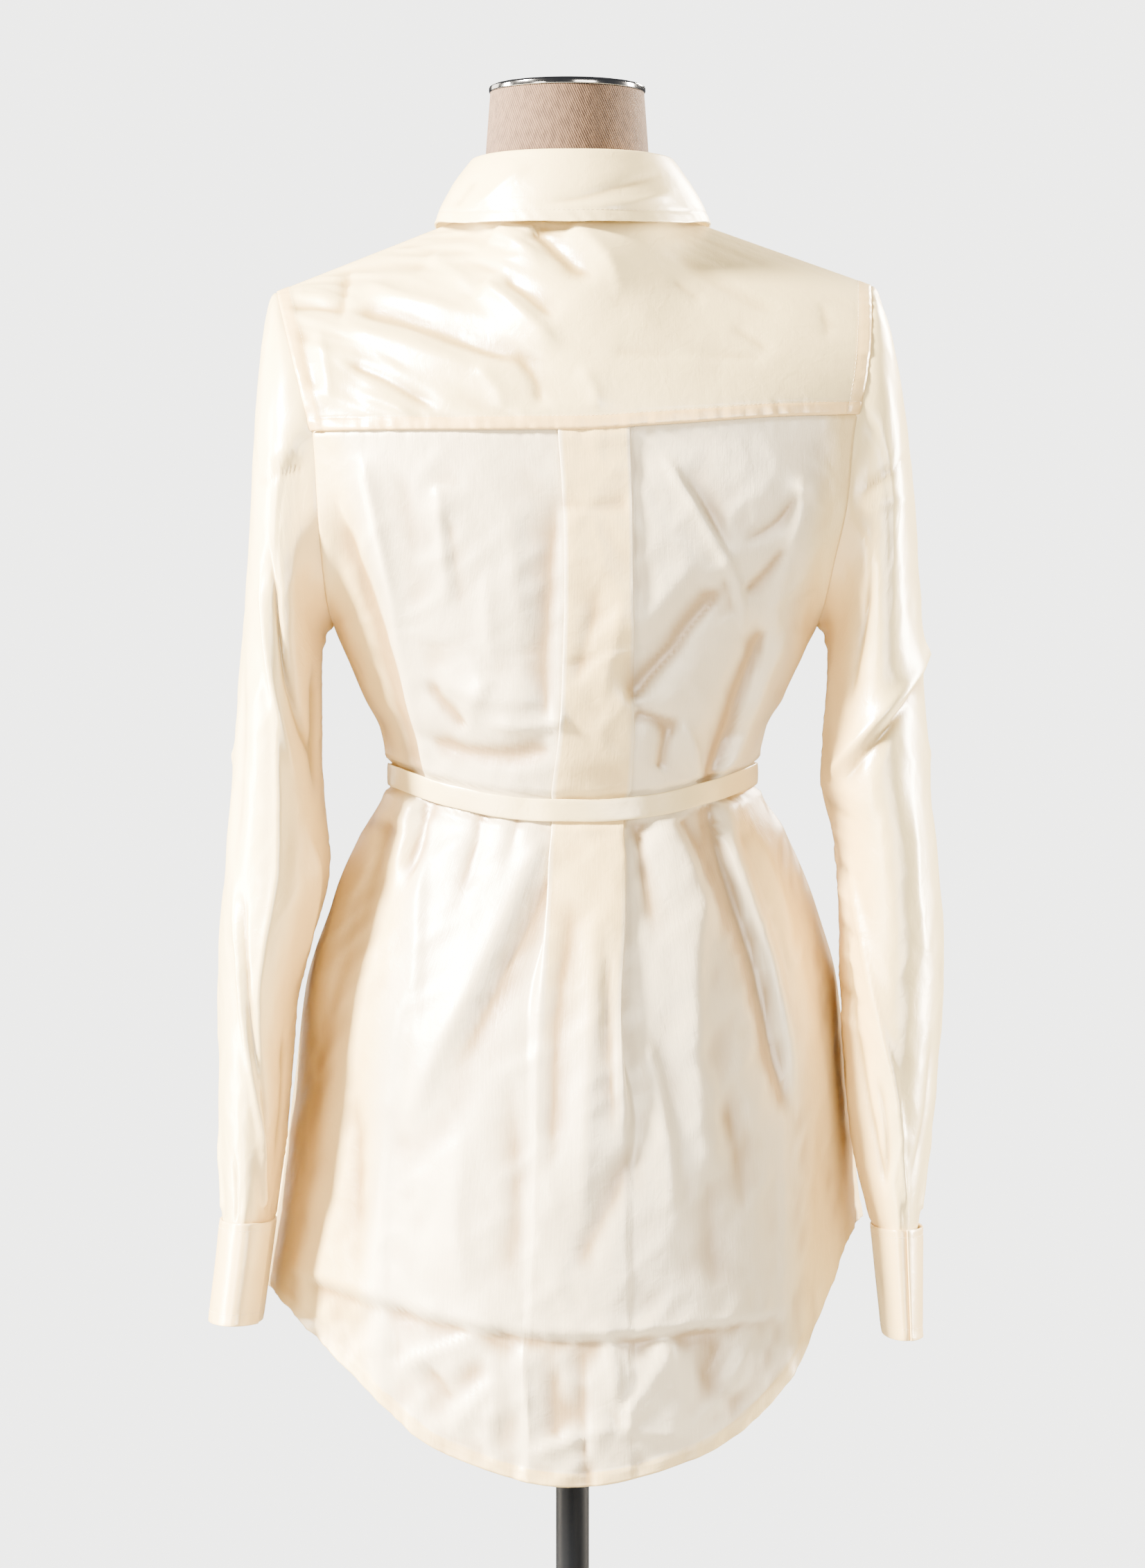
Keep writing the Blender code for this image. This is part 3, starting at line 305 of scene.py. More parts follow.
@dataclass
class ClothGrid:
    """Surface of one cut piece: points and outward directions over rows and columns."""

    points: Array
    outward: Array
    wrap: bool = False
    # how hollow each point is, which sets its painted fold shade
    hollow: Array | None = None
    layers: Array | None = None
    tone: Array | None = None

    @classmethod
    def facing(cls, points: Array, centre: Array, wrap: bool = False) -> "ClothGrid":
        """Grid whose outward side, on the whole, faces away from the centre."""
        normals = grid_normals(points, wrap)
        away = (normals * (points - centre)).sum()
        return cls(points, normals * (1.0 if away > 0 else -1.0), wrap)

    def raised(self, height: Array) -> "ClothGrid":
        """The grid moved out by a height in mm, which also says how hollow each point is, for the
        painted fold shade.

        That is its own depth over DEEPEST_FOLD, added to its depth under the evened-out cloth about
        it over DEEPEST_LOCALLY. The first OPEN_CLOTH of it gets no painted shade.
        """
        even = np.ones(height.shape)
        about = height[..., None]
        for axis in (0, 1):
            about = smoothed(about, axis, 44, even)
        locally = (about[..., 0] - height) / DEEPEST_LOCALLY
        hollow = np.clip(np.maximum(-height, 0) / DEEPEST_FOLD + locally - OPEN_CLOTH, 0, 1)
        points = self.points + self.outward * (height * MM)[..., None]
        return ClothGrid(points, self.outward, self.wrap, hollow, self.layers, self.tone)

    def edges(self) -> tuple:
        """Distance of every point from the first and last columns and rows, in mm of cloth."""
        across = np.linalg.norm(np.diff(self.points, axis=1), axis=-1)
        down = np.linalg.norm(np.diff(self.points, axis=0), axis=-1)
        run = np.concatenate([np.zeros((len(across), 1)), np.cumsum(across, axis=1)], axis=1) / MM
        fall = np.concatenate([np.zeros((1, down.shape[1])), np.cumsum(down, axis=0)]) / MM
        return run, run[:, -1:] - run, fall, fall[-1:] - fall

    def traced(self, distance: Array, level: float) -> tuple:
        """Line over the columns where a distance that falls down each column meets a level.

        Args:
            distance: value at each point, falling down the rows.
            level: value at which to trace, in the same unit.

        Returns:
            The line's points and outward directions.
        """
        row = np.clip(np.argmax(distance < level, axis=0), 1, len(distance) - 1)
        column = np.arange(distance.shape[1])
        above, below = distance[row - 1, column], distance[row, column]
        t = np.clip((above - level) / np.maximum(above - below, 1e-9), 0, 1)[:, None]
        points = self.points[row - 1, column] * (1 - t) + self.points[row, column] * t
        outward = self.outward[row - 1, column] * (1 - t) + self.outward[row, column] * t
        return points, unit(outward)

    def traced_beside(self, edge: Array, level: float) -> tuple:
        """Line down the rows at a level's distance from a side edge, like traced."""
        rising = edge[:, 0].mean() < edge[:, -1].mean()
        order = slice(None, None, -1) if rising else slice(None)
        points, outward, distance = (
            np.swapaxes(a, 0, 1)[order] for a in (self.points, self.outward, edge)
        )
        return ClothGrid(points, outward).traced(distance, level)

    def built(self, name: str, finish: Finish, thickness: float = 0.0) -> Piece:
        """Makes the piece: a mesh over the grid, its cloth map and, with a thickness, a wall."""
        rows, columns = self.points.shape[:2]
        faces = grid_faces(rows, columns, self.wrap)
        corner = np.tile([0, 1, 2, 3], len(faces))
        row, column = np.divmod(faces.ravel(), columns)
        across = np.linalg.norm(np.diff(self.points, axis=1), axis=-1).mean(axis=0)
        down = np.linalg.norm(np.diff(self.points, axis=0), axis=-1).mean(axis=1)
        u = np.concatenate([[0.0], np.cumsum(across)])
        v = np.concatenate([[0.0], np.cumsum(down)])
        closing = self.wrap & (column == 0) & ((corner == 1) | (corner == 2))
        u = np.where(closing, u[-1] + across.mean(), u[column])
        uv = np.stack([u, v[-1] - v[row]], axis=-1)
        piece = new_piece(name, self.points.reshape(-1, 3), faces.tolist(), finish)
        mesh = piece.data
        mesh.uv_layers.new(name=CLOTH_MAP).data.foreach_set("uv", uv.astype(np.float32).ravel())
        for attribute, values in ((HOLLOW, self.hollow), (TONE, self.tone)):
            values = np.zeros((rows, columns)) if values is None else values
            held = mesh.attributes.new(attribute, "FLOAT", "POINT").data
            held.foreach_set("value", values.astype(np.float32).ravel())
        if thickness:
            wall = piece.modifiers.new("wall", "SOLIDIFY")
            wall.thickness = thickness
            wall.offset = 0.0
        if thickness and self.layers is not None:
            group = piece.vertex_groups.new(name="layers")
            layers = np.round(self.layers.ravel(), 1)
            for level in np.unique(layers):
                group.add(np.flatnonzero(layers == level).tolist(), float(level), "REPLACE")
            wall.vertex_group = "layers"
        return piece


def new_piece(name: str, points: Array, faces: list, finish: Finish) -> Piece:
    """A smooth-shaded mesh piece, linked to the scene."""
    mesh = bpy.data.meshes.new(name)
    mesh.from_pydata(points.tolist(), [], faces)
    mesh.shade_smooth()
    mesh.materials.append(finish)
    piece = bpy.data.objects.new(name, mesh)
    bpy.context.scene.collection.objects.link(piece)
    return piece


def dress(piece: Piece, nodes: tuple = ()) -> Piece:
    """Lets a piece ride on the body and stand for CAD nodes, and reports it."""
    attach(piece, "root")
    if nodes:
        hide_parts(*nodes)
    stands = ", ".join(nodes) or "nothing"
    log.info("%s: %d points, stands for %s", piece.name, len(piece.data.vertices), stands)
    return piece


def rounded_edges(piece: Piece, width: float) -> None:
    """Rounds the rims of a wall of cloth, as a folded and pressed edge is."""
    bevel = piece.modifiers.new("pressed edge", "BEVEL")
    bevel.width = width
    bevel.segments = 2
    bevel.limit_method = "ANGLE"
    bevel.angle_limit = math.radians(55)


@dataclass(frozen=True)
class Stitch:
    """One machine stitch, as a spindle of four rings between two tips, in metres."""

    length: float = 2.5 * MM
    gap: float = 0.6 * MM
    radius: float = 0.16 * MM
    lift: float = 0.28 * MM  # height of its axis above the middle of the cloth
    sides: int = 5

    def spindle(self) -> tuple:
        """Its points, along X with Z up, and its faces."""
        sides, rings = self.sides, np.array([-0.42, -0.30, 0.30, 0.42])
        thick = np.array([0.55, 1.0, 1.0, 0.55]) * self.radius
        turn = np.arange(sides) / sides * 2 * math.pi
        y, z = (np.outer(thick, wave(turn)).ravel() for wave in (np.cos, np.sin))
        around = np.stack([np.repeat(rings * self.length, sides), y, z], axis=-1)
        tip = self.length / 2
        points = np.concatenate([[[-tip, 0, -self.radius]], around, [[tip, 0, -self.radius]]])
        last = 1 + (len(rings) - 1) * sides
        faces = (grid_faces(len(rings), sides, True) + 1).tolist()
        faces += [[0, 1 + (i + 1) % sides, 1 + i] for i in range(sides)]
        faces += [[last + sides, last + i, last + (i + 1) % sides] for i in range(sides)]
        return points, faces

    def sewn(self, name: str, lines: list, finish: Finish) -> Piece:
        """Rows of stitches along lines on the cloth, as one dressed piece.

        Args:
            name: name of the piece.
            lines: pairs of (points, outward directions) to sew along.
            finish: material of the thread.

        Returns:
            The new object.
        """
        template, faces = self.spindle()
        points, all_faces, base = [], [], 0
        for path, outward in lines:
            run = run_along(path)
            count = int(run[-1] / (self.length + self.gap))
            if count < 1:
                continue
            places = (np.arange(count) + 0.5) * run[-1] / count
            centre, up = at_run(places, run, path), unit(at_run(places, run, outward))
            along = unit(at_run(places + self.length / 2, run, path) - centre)
            beside = unit(np.cross(along, up))
            up = np.cross(beside, along)
            x, y, z = template.T[..., None]
            local = x * along[:, None] + y * beside[:, None] + z * up[:, None]
            points.append((centre[:, None] + local + up[:, None] * self.lift).reshape(-1, 3))
            offsets = base + np.arange(count) * len(template)
            all_faces += [[int(o + i) for i in face] for o in offsets for face in faces]
            base += len(points[-1])
        return dress(new_piece(name, np.concatenate(points), all_faces, finish))


def run_along(line: Array) -> Array:
    """Distance of each point of a line from the first one, along it."""
    return np.concatenate([[0.0], np.cumsum(np.linalg.norm(np.diff(line, axis=0), axis=1))])


def at_run(places: Array, run: Array, values: Array) -> Array:
    """Rows of values read at places along a line whose rows lie at run."""
    return np.stack([np.interp(places, run, values[:, k]) for k in range(3)], axis=-1)


# ---- finishes ----


def linear(colour: str) -> tuple:
    """An sRGB colour such as "#FAF0E0" as linear numbers, with an alpha of 1."""
    parts = [int(colour[i : i + 2], 16) / 255 for i in (1, 3, 5)]
    made = [c / 12.92 if c <= 0.04045 else ((c + 0.055) / 1.055) ** 2.4 for c in parts]
    return (*made, 1.0)


def feed(tree: Tree, node: bpy.types.Node, inputs: dict) -> None:
    """Gives a node its inputs: a socket is linked, anything else is a constant."""
    for name, value in inputs.items():
        if isinstance(value, Socket):
            tree.links.new(value, node.inputs[name])
        else:
            node.inputs[name].default_value = value


def add_node(tree: Tree, kind: str, inputs: dict, output: str | int = 0, **settings) -> Socket:
    """Adds a shader node.

    Args:
        tree: node tree to add to.
        kind: type of the node, without its "ShaderNode".
        inputs: constant or socket by input.
        output: which of its outputs is wanted.
        settings: the node's own properties.

    Returns:
        The socket of that output.
    """
    made = tree.nodes.new(f"ShaderNode{kind}")
    for name, value in settings.items():
        setattr(made, name, value)
    feed(tree, made, inputs)
    return made.outputs[output]


def mixed(tree: Tree, share: Socket, first: str | Socket, second: str) -> Socket:
    """Colour between two, by a share."""
    start = linear(first) if isinstance(first, str) else first
    ends = {"Factor": share, 6: start, 7: linear(second)}
    return add_node(tree, "Mix", ends, 2, data_type="RGBA")


def noise(tree: Tree, place: Socket, **inputs) -> Socket:
    """Noise at a place."""
    return add_node(tree, "TexNoise", {"Vector": place, **inputs}, "Fac")


def new_material(name: str, **inputs) -> tuple:
    """A new node material: it, its tree and its Principled shader, given words for spaces."""
    made = bpy.data.materials.new(name)
    made.use_nodes = True
    shader = made.node_tree.nodes["Principled BSDF"]
    feed(made.node_tree, shader, {key.replace("_", " "): value for key, value in inputs.items()})
    return made, made.node_tree, shader


@dataclass(frozen=True)
class WovenSatin:
    """Calendered woven satin: long floats give it a silky gloss, streaked down the cloth.

    The eye sees a warm cream and a broad soft highlight; a painted shade colour darkens the folds
    to golden, by how hollow each point lies. Threads are about 0.1 mm, too fine to show, so streaks
    stand for them.
    """

    name: str
    open_colour: str
    # the colour of layered cloth, also used as painted golden shade on the sleeves' inner sides and
    # partly on the back's sides
    warm_colour: str
    # the colour of the painted shade at the bottoms of folds
    painted_shade_colour: str
    roughness: float
    rib_mm: float  # spacing of the streaks, drawn coarse enough to show
    rib_depth_mm: float
    rib_length: float = 14.0  # length of a streak over their spacing
    rib_shade: float = 0.16  # how much the streaks vary the colour
    crinkle_mm: float = 9.0  # size of the soft crinkles that satin keeps from its packing
    crinkle_depth_mm: float = 0.32
    gloss: float = 0.25  # share of the calendered face that lies over the cream of the threads
    fold_shade: float = 0.8  # share of the painted shade colour at the bottom of a fold

    def material(self) -> Finish:
        """Builds the node material."""
        made, tree, shader = new_material(
            self.name,
            Roughness=self.roughness,
            Specular_IOR_Level=1.0,
            Coat_Weight=self.gloss,
            Coat_Roughness=self.roughness,
            Coat_IOR=1.9,
            Sheen_Weight=0.1,
            Sheen_Roughness=0.35,
            Sheen_Tint=linear("#FFF2DC"),
        )
        place = add_node(tree, "UVMap", {}, "UV", uv_map=CLOTH_MAP)
        in_mm = add_node(tree, "VectorMath", {0: place, 1: (1000,) * 3}, operation="MULTIPLY")
        drawn_out = (1 / self.rib_mm, 1 / (self.rib_length * self.rib_mm), 1.0)
        ribs_at = add_node(tree, "Mapping", {"Vector": in_mm, "Scale": drawn_out})
        ribs = noise(tree, ribs_at, Scale=1.0, Detail=2.0, Roughness=0.6)
        size = 1 / self.crinkle_mm
        crinkles = noise(tree, in_mm, Scale=size, Detail=3.0, Roughness=0.5, Distortion=0.6)
        depth = self.crinkle_depth_mm * MM
        soft = add_node(tree, "Bump", {"Strength": 1.0, "Distance": depth, "Height": crinkles})
        depth = self.rib_depth_mm * MM
        fine = {"Strength": 1.0, "Distance": depth, "Height": ribs, "Normal": soft}
        hollow = add_node(tree, "Attribute", {}, "Fac", attribute_name=HOLLOW)
        tone = add_node(tree, "Attribute", {}, "Fac", attribute_name=TONE)
        add = {"operation": "MULTIPLY_ADD"}
        shade = add_node(tree, "Math", {0: ribs, 1: self.rib_shade, 2: -self.rib_shade / 2}, **add)
        # painted shade: the painted shade colour is mixed in by how hollow each point is, and a
        # little by the streaks
        deep = {0: hollow, 1: self.fold_shade, 2: shade}
        deep = add_node(tree, "Math", deep, use_clamp=True, **add)
        flat = mixed(tree, tone, self.open_colour, self.warm_colour)
        colour = mixed(tree, deep, flat, self.painted_shade_colour)
        feed(tree, shader, {"Normal": add_node(tree, "Bump", fine), "Base Color": colour})
        return made


@dataclass(frozen=True)
class LinenTwill:
    """Unbleached linen twill, glued over the form: matt, with slanting ribs about 1 mm apart."""

    name: str = "linen_twill"
    light: str = "#624D3C"
    dark: str = "#3A2B21"
    rib_mm: float = 1.25
    slub_mm: float = 7.0

    def material(self) -> Finish:
        """Builds the node material."""
        made, tree, shader = new_material(
            self.name, Roughness=0.88, Specular_IOR_Level=0.25, Sheen_Weight=0.15
        )
        place = add_node(tree, "UVMap", {}, "UV", uv_map=CLOTH_MAP)
        size = (1000 / self.rib_mm, 1000 / self.rib_mm, 1.0)
        in_ribs = add_node(tree, "Mapping", {"Vector": place, "Scale": size})
        wave = {"Vector": in_ribs, "Scale": 0.222, "Distortion": 0.9}
        wave |= {"Detail": 1.0, "Detail Scale": 1.6}
        ribs = add_node(tree, "TexWave", wave, "Fac", bands_direction="DIAGONAL")
        slubs = noise(tree, in_ribs, Scale=self.rib_mm / self.slub_mm, Detail=4.0)
        both = add_node(tree, "Math", {0: ribs, 1: 0.55, 2: slubs}, operation="MULTIPLY_ADD")
        spread = {"Value": both, "From Min": 0.46, "From Max": 1.02, "To Min": 0.0, "To Max": 1.0}
        colour = mixed(tree, add_node(tree, "MapRange", spread), self.dark, self.light)
        bump = add_node(tree, "Bump", {"Strength": 0.9, "Distance": 0.35 * MM, "Height": both})
        feed(tree, shader, {"Base Color": colour, "Normal": bump})
        return made


@dataclass(frozen=True)
class Smooth:
    """A plain hard or thread finish, whose gloss varies with faint marks in it.

    Metal is polished or painted, with rubbing marks drawn out along the piece; thread and the
    studio's floor have a fine even grain.
    """

    name: str
    colour: str
    roughness: float
    varies: float  # how far the roughness varies either way
    mark_mm: float = 1.0
    drawn_out: float = 1.0  # length of a mark over its width
    detail: float = 2.0
    metallic: float = 0.0
    shine: float = 0.5

    def material(self) -> Finish:
        """Builds the node material."""
        made, tree, shader = new_material(
            self.name,
            Base_Color=linear(self.colour),
            Metallic=self.metallic,
            Specular_IOR_Level=self.shine,
        )
        place = add_node(tree, "TexCoord", {}, "Object")
        fine = 1000 / self.mark_mm
        marks_at = add_node(
            tree, "Mapping", {"Vector": place, "Scale": (fine, fine, fine / self.drawn_out)}
        )
        marks = noise(tree, marks_at, Scale=1.0, Detail=self.detail)
        low, high = self.roughness - self.varies, self.roughness + self.varies
        rough = add_node(tree, "MapRange", {"Value": marks, "To Min": low, "To Max": high})
        feed(tree, shader, {"Roughness": rough})
        return made


@dataclass(frozen=True)
class PearlPolyester:
    """Cast polyester button with a pearly swirl under a polished face."""

    name: str = "pearl_polyester"
    light: str = "#F1E8D6"
    dark: str = "#CDB999"
    swirl_mm: float = 3.5

    def material(self) -> Finish:
        """Builds the node material."""
        made, tree, shader = new_material(
            self.name, Roughness=0.22, Coat_Weight=0.5, Coat_Roughness=0.08
        )
        place = add_node(tree, "TexCoord", {}, "Object")
        swirl = noise(tree, place, Scale=1000 / self.swirl_mm, Detail=2.0, Distortion=2.5)
        feed(tree, shader, {"Base Color": mixed(tree, swirl, self.dark, self.light)})
        return made


class Wardrobe:
    """The finishes of the blouse and its form, built once and shared by the pieces."""

    def __init__(self) -> None:
        """Builds every material."""
        # glossy side out: collar, yoke, sleeves, fronts and belt
        # the third colour is the painted shade in the bottoms of folds
        self.satin = WovenSatin(
            "cream_satin", "#DBC996", "#DDBC7C", "#997E44", 0.34, 1.0, 0.05
        ).material()
        # the back is cut from the crepe side: cooler, with ribs that show down the cloth
        # the third colour is the painted shade in the bottoms of folds
        self.crepe = WovenSatin(
            "crepe_back_satin", "#D6CBAF", "#DCC388", "#8C6A34", 0.42, 1.3, 0.12
        ).material()
        self.thread = Smooth("cream_thread", "#DCCDB0", 0.5, 0.06).material()
        self.linen = LinenTwill().material()
        self.chrome = Smooth(
            "smoked_chrome", "#9A9CA0", 0.12, 0.024, 3.0, 25 / 3, 3.0, metallic=1.0
        ).material()
        self.steel = Smooth(
            "blue_black_steel", "#0B0E13", 0.5, 0.15, 2.0, 25 / 3, 3.0, shine=0.08
        ).material()
        self.pearl = PearlPolyester().material()
        self.floor = Smooth("studio_floor", "#6E6E6C", 0.75, 0.06, 4.0).material()


# ---- the form of the blouse ----

# Sections of the body. left and right: distance of the side seam, or of the armhole seam above
# it, from the axis. seam: depth of the side seam. back_open and front_open: how far behind and in
# front of it the armhole's edges lie. mid and arc: where each face crosses the middle, and how
# far round an ellipse it reaches, in degrees either way.
BODY = Table("""
z left right seam back_open back_mid back_arc front_open front_mid front_arc
1.300 0.1800 0.1920 0.000 0.070 0.1190 50 0.070 -0.118 55
1.265 0.1690 0.1830 0.000 0.080 0.1220 52 0.080 -0.130 58
1.215 0.1655 0.1780 0.000 0.080 0.1210 58 0.080 -0.143 64
1.175 0.1630 0.1700 0.000 0.064 0.1180 68 0.067 -0.149 74
1.150 0.1610 0.1655 0.000 0.038 0.1150 80 0.040 -0.148 84
1.140 0.1595 0.1635 0.000 0.015 0.1132 87 0.016 -0.146 88
1.137 0.1590 0.1630 0.000 0.000 0.1128 90 0.000 -0.146 90
1.110 0.1490 0.1500 -0.003 0.000 0.1100 90 0.000 -0.140 90
1.080 0.1380 0.1390 -0.006 0.000 0.1060 90 0.000 -0.131 90
1.055 0.1260 0.1250 -0.008 0.000 0.1000 90 0.000 -0.120 90
1.030 0.1205 0.1205 -0.010 0.000 0.0895 90 0.000 -0.108 90
1.000 0.1375 0.1395 -0.014 0.000 0.0990 90 0.000 -0.120 90
0.950 0.1600 0.1620 -0.022 0.000 0.1150 90 0.000 -0.141 90
0.900 0.1780 0.1770 -0.031 0.000 0.1280 90 0.000 -0.155 90
0.830 0.1870 0.1840 -0.040 0.000 0.1410 90 0.000 -0.168 90
0.760 0.1965 0.1920 -0.042 0.000 0.1490 90 0.000 -0.174 90
0.700 0.2055 0.1990 -0.042 0.000 0.1530 90 0.000 -0.176 90
0.560 0.2100 0.2050 -0.042 0.000 0.1550 90 0.000 -0.176 90
""")

# Height of the curved hem and of the yoke seam, by share of the way from the middle to the seams.
BACK_EDGES = Table("""
share yoke hem
-1.00 1.2735 0.746
-0.87 1.2725 0.744
-0.75 1.2715 0.733
-0.62 1.2700 0.698
-0.50 1.2680 0.651
-0.25 1.2640 0.603
0.00 1.2610 0.587
0.25 1.2610 0.605
0.50 1.2615 0.656
0.75 1.2620 0.693
1.00 1.2625 0.706
""")
FRONT_HEM = Table("""
share hem
-1.00 0.746
-0.75 0.728
-0.50 0.690
-0.25 0.667
0.00 0.660
0.25 0.665
0.50 0.682
0.75 0.700
1.00 0.706
""")

# Where the edges of the pleat's strip lie, and how far each has opened out (0 pressed, 1 open).
PLEAT = Table("""
z left right left_open right_open
1.270 0.0090 -0.0360 0.0 0.0
1.180 0.0040 -0.0385 0.0 0.0
1.080 0.0065 -0.0385 0.0 0.0
1.020 0.0130 -0.0360 0.0 0.0
0.950 0.0165 -0.0340 0.35 0.05
0.880 0.0195 -0.0300 0.85 0.35
0.800 0.0220 -0.0310 1.0 0.90
0.740 0.0240 -0.0325 1.0 1.0
0.560 0.0280 -0.0360 1.0 1.0
""")

# Where the folds that the back kept from its packing part its cooler middle from its warmer sides,
# whose warmth is partly painted golden shade.
PACKING = Table("""
z left right
1.260 0.140 -0.156
1.150 0.118 -0.138
1.060 0.102 -0.122
1.020 0.096 -0.092
0.950 0.100 -0.112
0.880 0.114 -0.134
0.800 0.120 -0.141
0.700 0.122 -0.136
0.600 0.120 -0.134
""")


@dataclass(frozen=True)
class BlouseForm:
    """The surface that the cut pieces of the body share, from the collar seam to the hem."""

    belt_level: float = 1.0300  # height that the narrowest section stands for
    belt_back: float = 1.0165
    belt_side: float = 1.0405
    belt_front: float = 1.0480
    belt_hold: float = 0.0080
    belt_swell: float = 0.0048  # how far the cloth swells just above and below the belt
    pleat_lap: float = 0.0090
    pleat_bend: float = 0.00075
    armpit: float = 1.138
    front_line: float = 1.200
    neck_share: float = 0.36
    neck_half_width: float = 0.066
    neck_point_z: float = 1.4125
    neck_back: tuple = (0.063, 1.4000)  # depth and height of the neckline behind
    neck_front: tuple = (-0.078, 1.3705)
    shoulder_y: float = -0.008
    shoulder_x: tuple = (0.1965, 0.1985)  # distance of its end from the axis, left and right
    shoulder_z: tuple = (1.3610, 1.3655)
    seam_gap: float = 0.3 * MM

    def belt_height(self, face: Face, share: Array) -> Array:
        """Height of the belt's middle: low at the back, rising over the sides to the front."""
        turn = np.abs(np.sin(share * math.pi / 2))
        if face == Face.BACK:
            return self.belt_back + (self.belt_side - self.belt_back) * turn**2.2
        return self.belt_front + (self.belt_side - self.belt_front) * turn**2

    def section_height(self, face: Face, share: Array, z: Array) -> Array:
        """Height to read the sections at: the waist follows the belt, and is flat under it."""
        belt = self.belt_height(face, share)
        above = z - belt
        dip = (belt - self.belt_level) * np.exp(-((above / 0.09) ** 2))
        held = np.clip(above, -self.belt_hold, self.belt_hold) * np.exp(-((above / 0.05) ** 2))
        return z - dip - held

    def trunk(self, face: Face, share: Array, z: Array) -> tuple:
        """Points of the back or the fronts, and their level outward directions.

        Each section is the arc of an ellipse between the seams: x = reach * sin(turn) and
        y = seam + depth * (cos(turn) - cos(arc)), where turn is the share of the arc.

        Args:
            face: back or fronts.
            share: -1 at the right seam, 0 in the middle, 1 at the left seam.
            z: heights.

        Returns:
            The points and the directions.
        """
        share, z = np.broadcast_arrays(np.asarray(share, dtype=float), np.asarray(z, dtype=float))
        level = self.section_height(face, share, z)
        kind = face.name.lower()
        reach = np.where(share >= 0, BODY.at("left", level), BODY.at("right", level))
        seam = BODY.at("seam", level) + face * (BODY.at(f"{kind}_open", level) + self.seam_gap / 2)
        deep = BODY.at(f"{kind}_mid", level) - seam
        arc = np.radians(BODY.at(f"{kind}_arc", level))
        turn = share * arc
        x = reach * np.sin(turn) / np.sin(arc)
        y = seam + deep * (np.cos(turn) - np.cos(arc)) / (1 - np.cos(arc))
        along_x = reach * np.cos(turn) / np.sin(arc)
        along_y = -deep * np.sin(turn) / (1 - np.cos(arc))
        outward = unit(face * np.stack([-along_y, along_x, np.zeros_like(z)], axis=-1))
        away = np.abs(z - self.belt_height(face, share))
        swell = self.belt_swell * ease((away - self.belt_hold) / 0.004)
        swell = swell * np.exp(-((away / 0.030) ** 2))
        return np.stack([x, y, z], axis=-1) + outward * swell[..., None], outward

    def share_at(self, face: Face, across: Array, z: Array) -> Array:
        """Share of the half section that lies at a distance across from the axis."""
        kind = face.name.lower()
        reach = np.where(across >= 0, BODY.at("left", z), BODY.at("right", z))
        arc = np.radians(BODY.at(f"{kind}_arc", z))
        return np.arcsin(np.clip(across * np.sin(arc) / reach, -1.0, 1.0)) / arc

    def neckline(self, turn: Array) -> Array:
        """Point of the neckline; turn is 0 at the centre back and pi in front."""
        behind = np.cos(turn) >= 0
        (back, back_z), (front, front_z) = self.neck_back, self.neck_front
        deep = np.where(behind, back - self.shoulder_y, self.shoulder_y - front)
        drop = self.neck_point_z - np.where(behind, back_z, front_z)
        x = self.neck_half_width * np.sin(turn)
        y = self.shoulder_y + deep * np.cos(turn)
        return np.stack([x, y, self.neck_point_z - drop * np.cos(turn) ** 2], axis=-1)

    def top_line(self, face: Face, share: Array) -> Array:
        """Top edge of the yoke or the fronts: the neckline, then the shoulder seam."""
        size = np.abs(share)
        neck_turn = np.minimum(size / self.neck_share, 1.0) * math.pi / 2
        neck = self.neckline(neck_turn if face == Face.BACK else math.pi - neck_turn)
        f = np.clip((size - self.neck_share) / (1 - self.neck_share), 0.0, 1.0)[..., None]
        ends = (self.shoulder_x, self.shoulder_z)
        x, z = (np.where(share >= 0, left, right) for left, right in ends)
        line = neck * (1 - f) + np.stack([x, np.full_like(share, self.shoulder_y), z], axis=-1) * f
        line[..., 0] *= np.where(share >= 0, 1, -1)
        line[..., 1] += face * 0.2 * MM
        return line

    def yoke_point(self, share: Array, t: Array) -> Array:
        """Point of the yoke: t is 0 at the yoke seam and 1 at the neckline or shoulder seam."""
        low, outward = self.trunk(Face.BACK, share, BACK_EDGES.at("yoke", share))
        low = low + outward * (self.pleat_bend * 2 + 0.5 * MM)
        high = self.top_line(Face.BACK, share)
        size, zero = np.abs(share), np.zeros_like(share)
        out = np.sign(share)
        rise = [0.012 * out * size**4, zero - 0.002, 0.072 - 0.025 * size**2]
        fall = [-0.003 * out * size**4, 0.036 + 0.004 * size**2, zero - 0.010]
        rise, fall = np.stack(rise, axis=-1), np.stack(fall, axis=-1)
        return bezier(low, low + rise, high + fall, high, t)

    def front_point(self, share: Array, t: Array) -> Array:
        """Point of a front above front_line: t is 0 there and 1 at the top edge."""
        step = 0.012
        low, _ = self.trunk(Face.FRONT, share, np.full_like(share, self.front_line))
        below, _ = self.trunk(Face.FRONT, share, np.full_like(share, self.front_line - step))
        high = self.top_line(Face.FRONT, share)
        size = np.abs(share)
        rise = (low - below) / step * 0.055
        fall = [-0.006 * np.sign(share) * size**4, -0.022 - 0.016 * size, -0.042 + 0.028 * size]
        fall = np.stack(fall, axis=-1)
        return bezier(low, low + rise, high + fall, high, t)

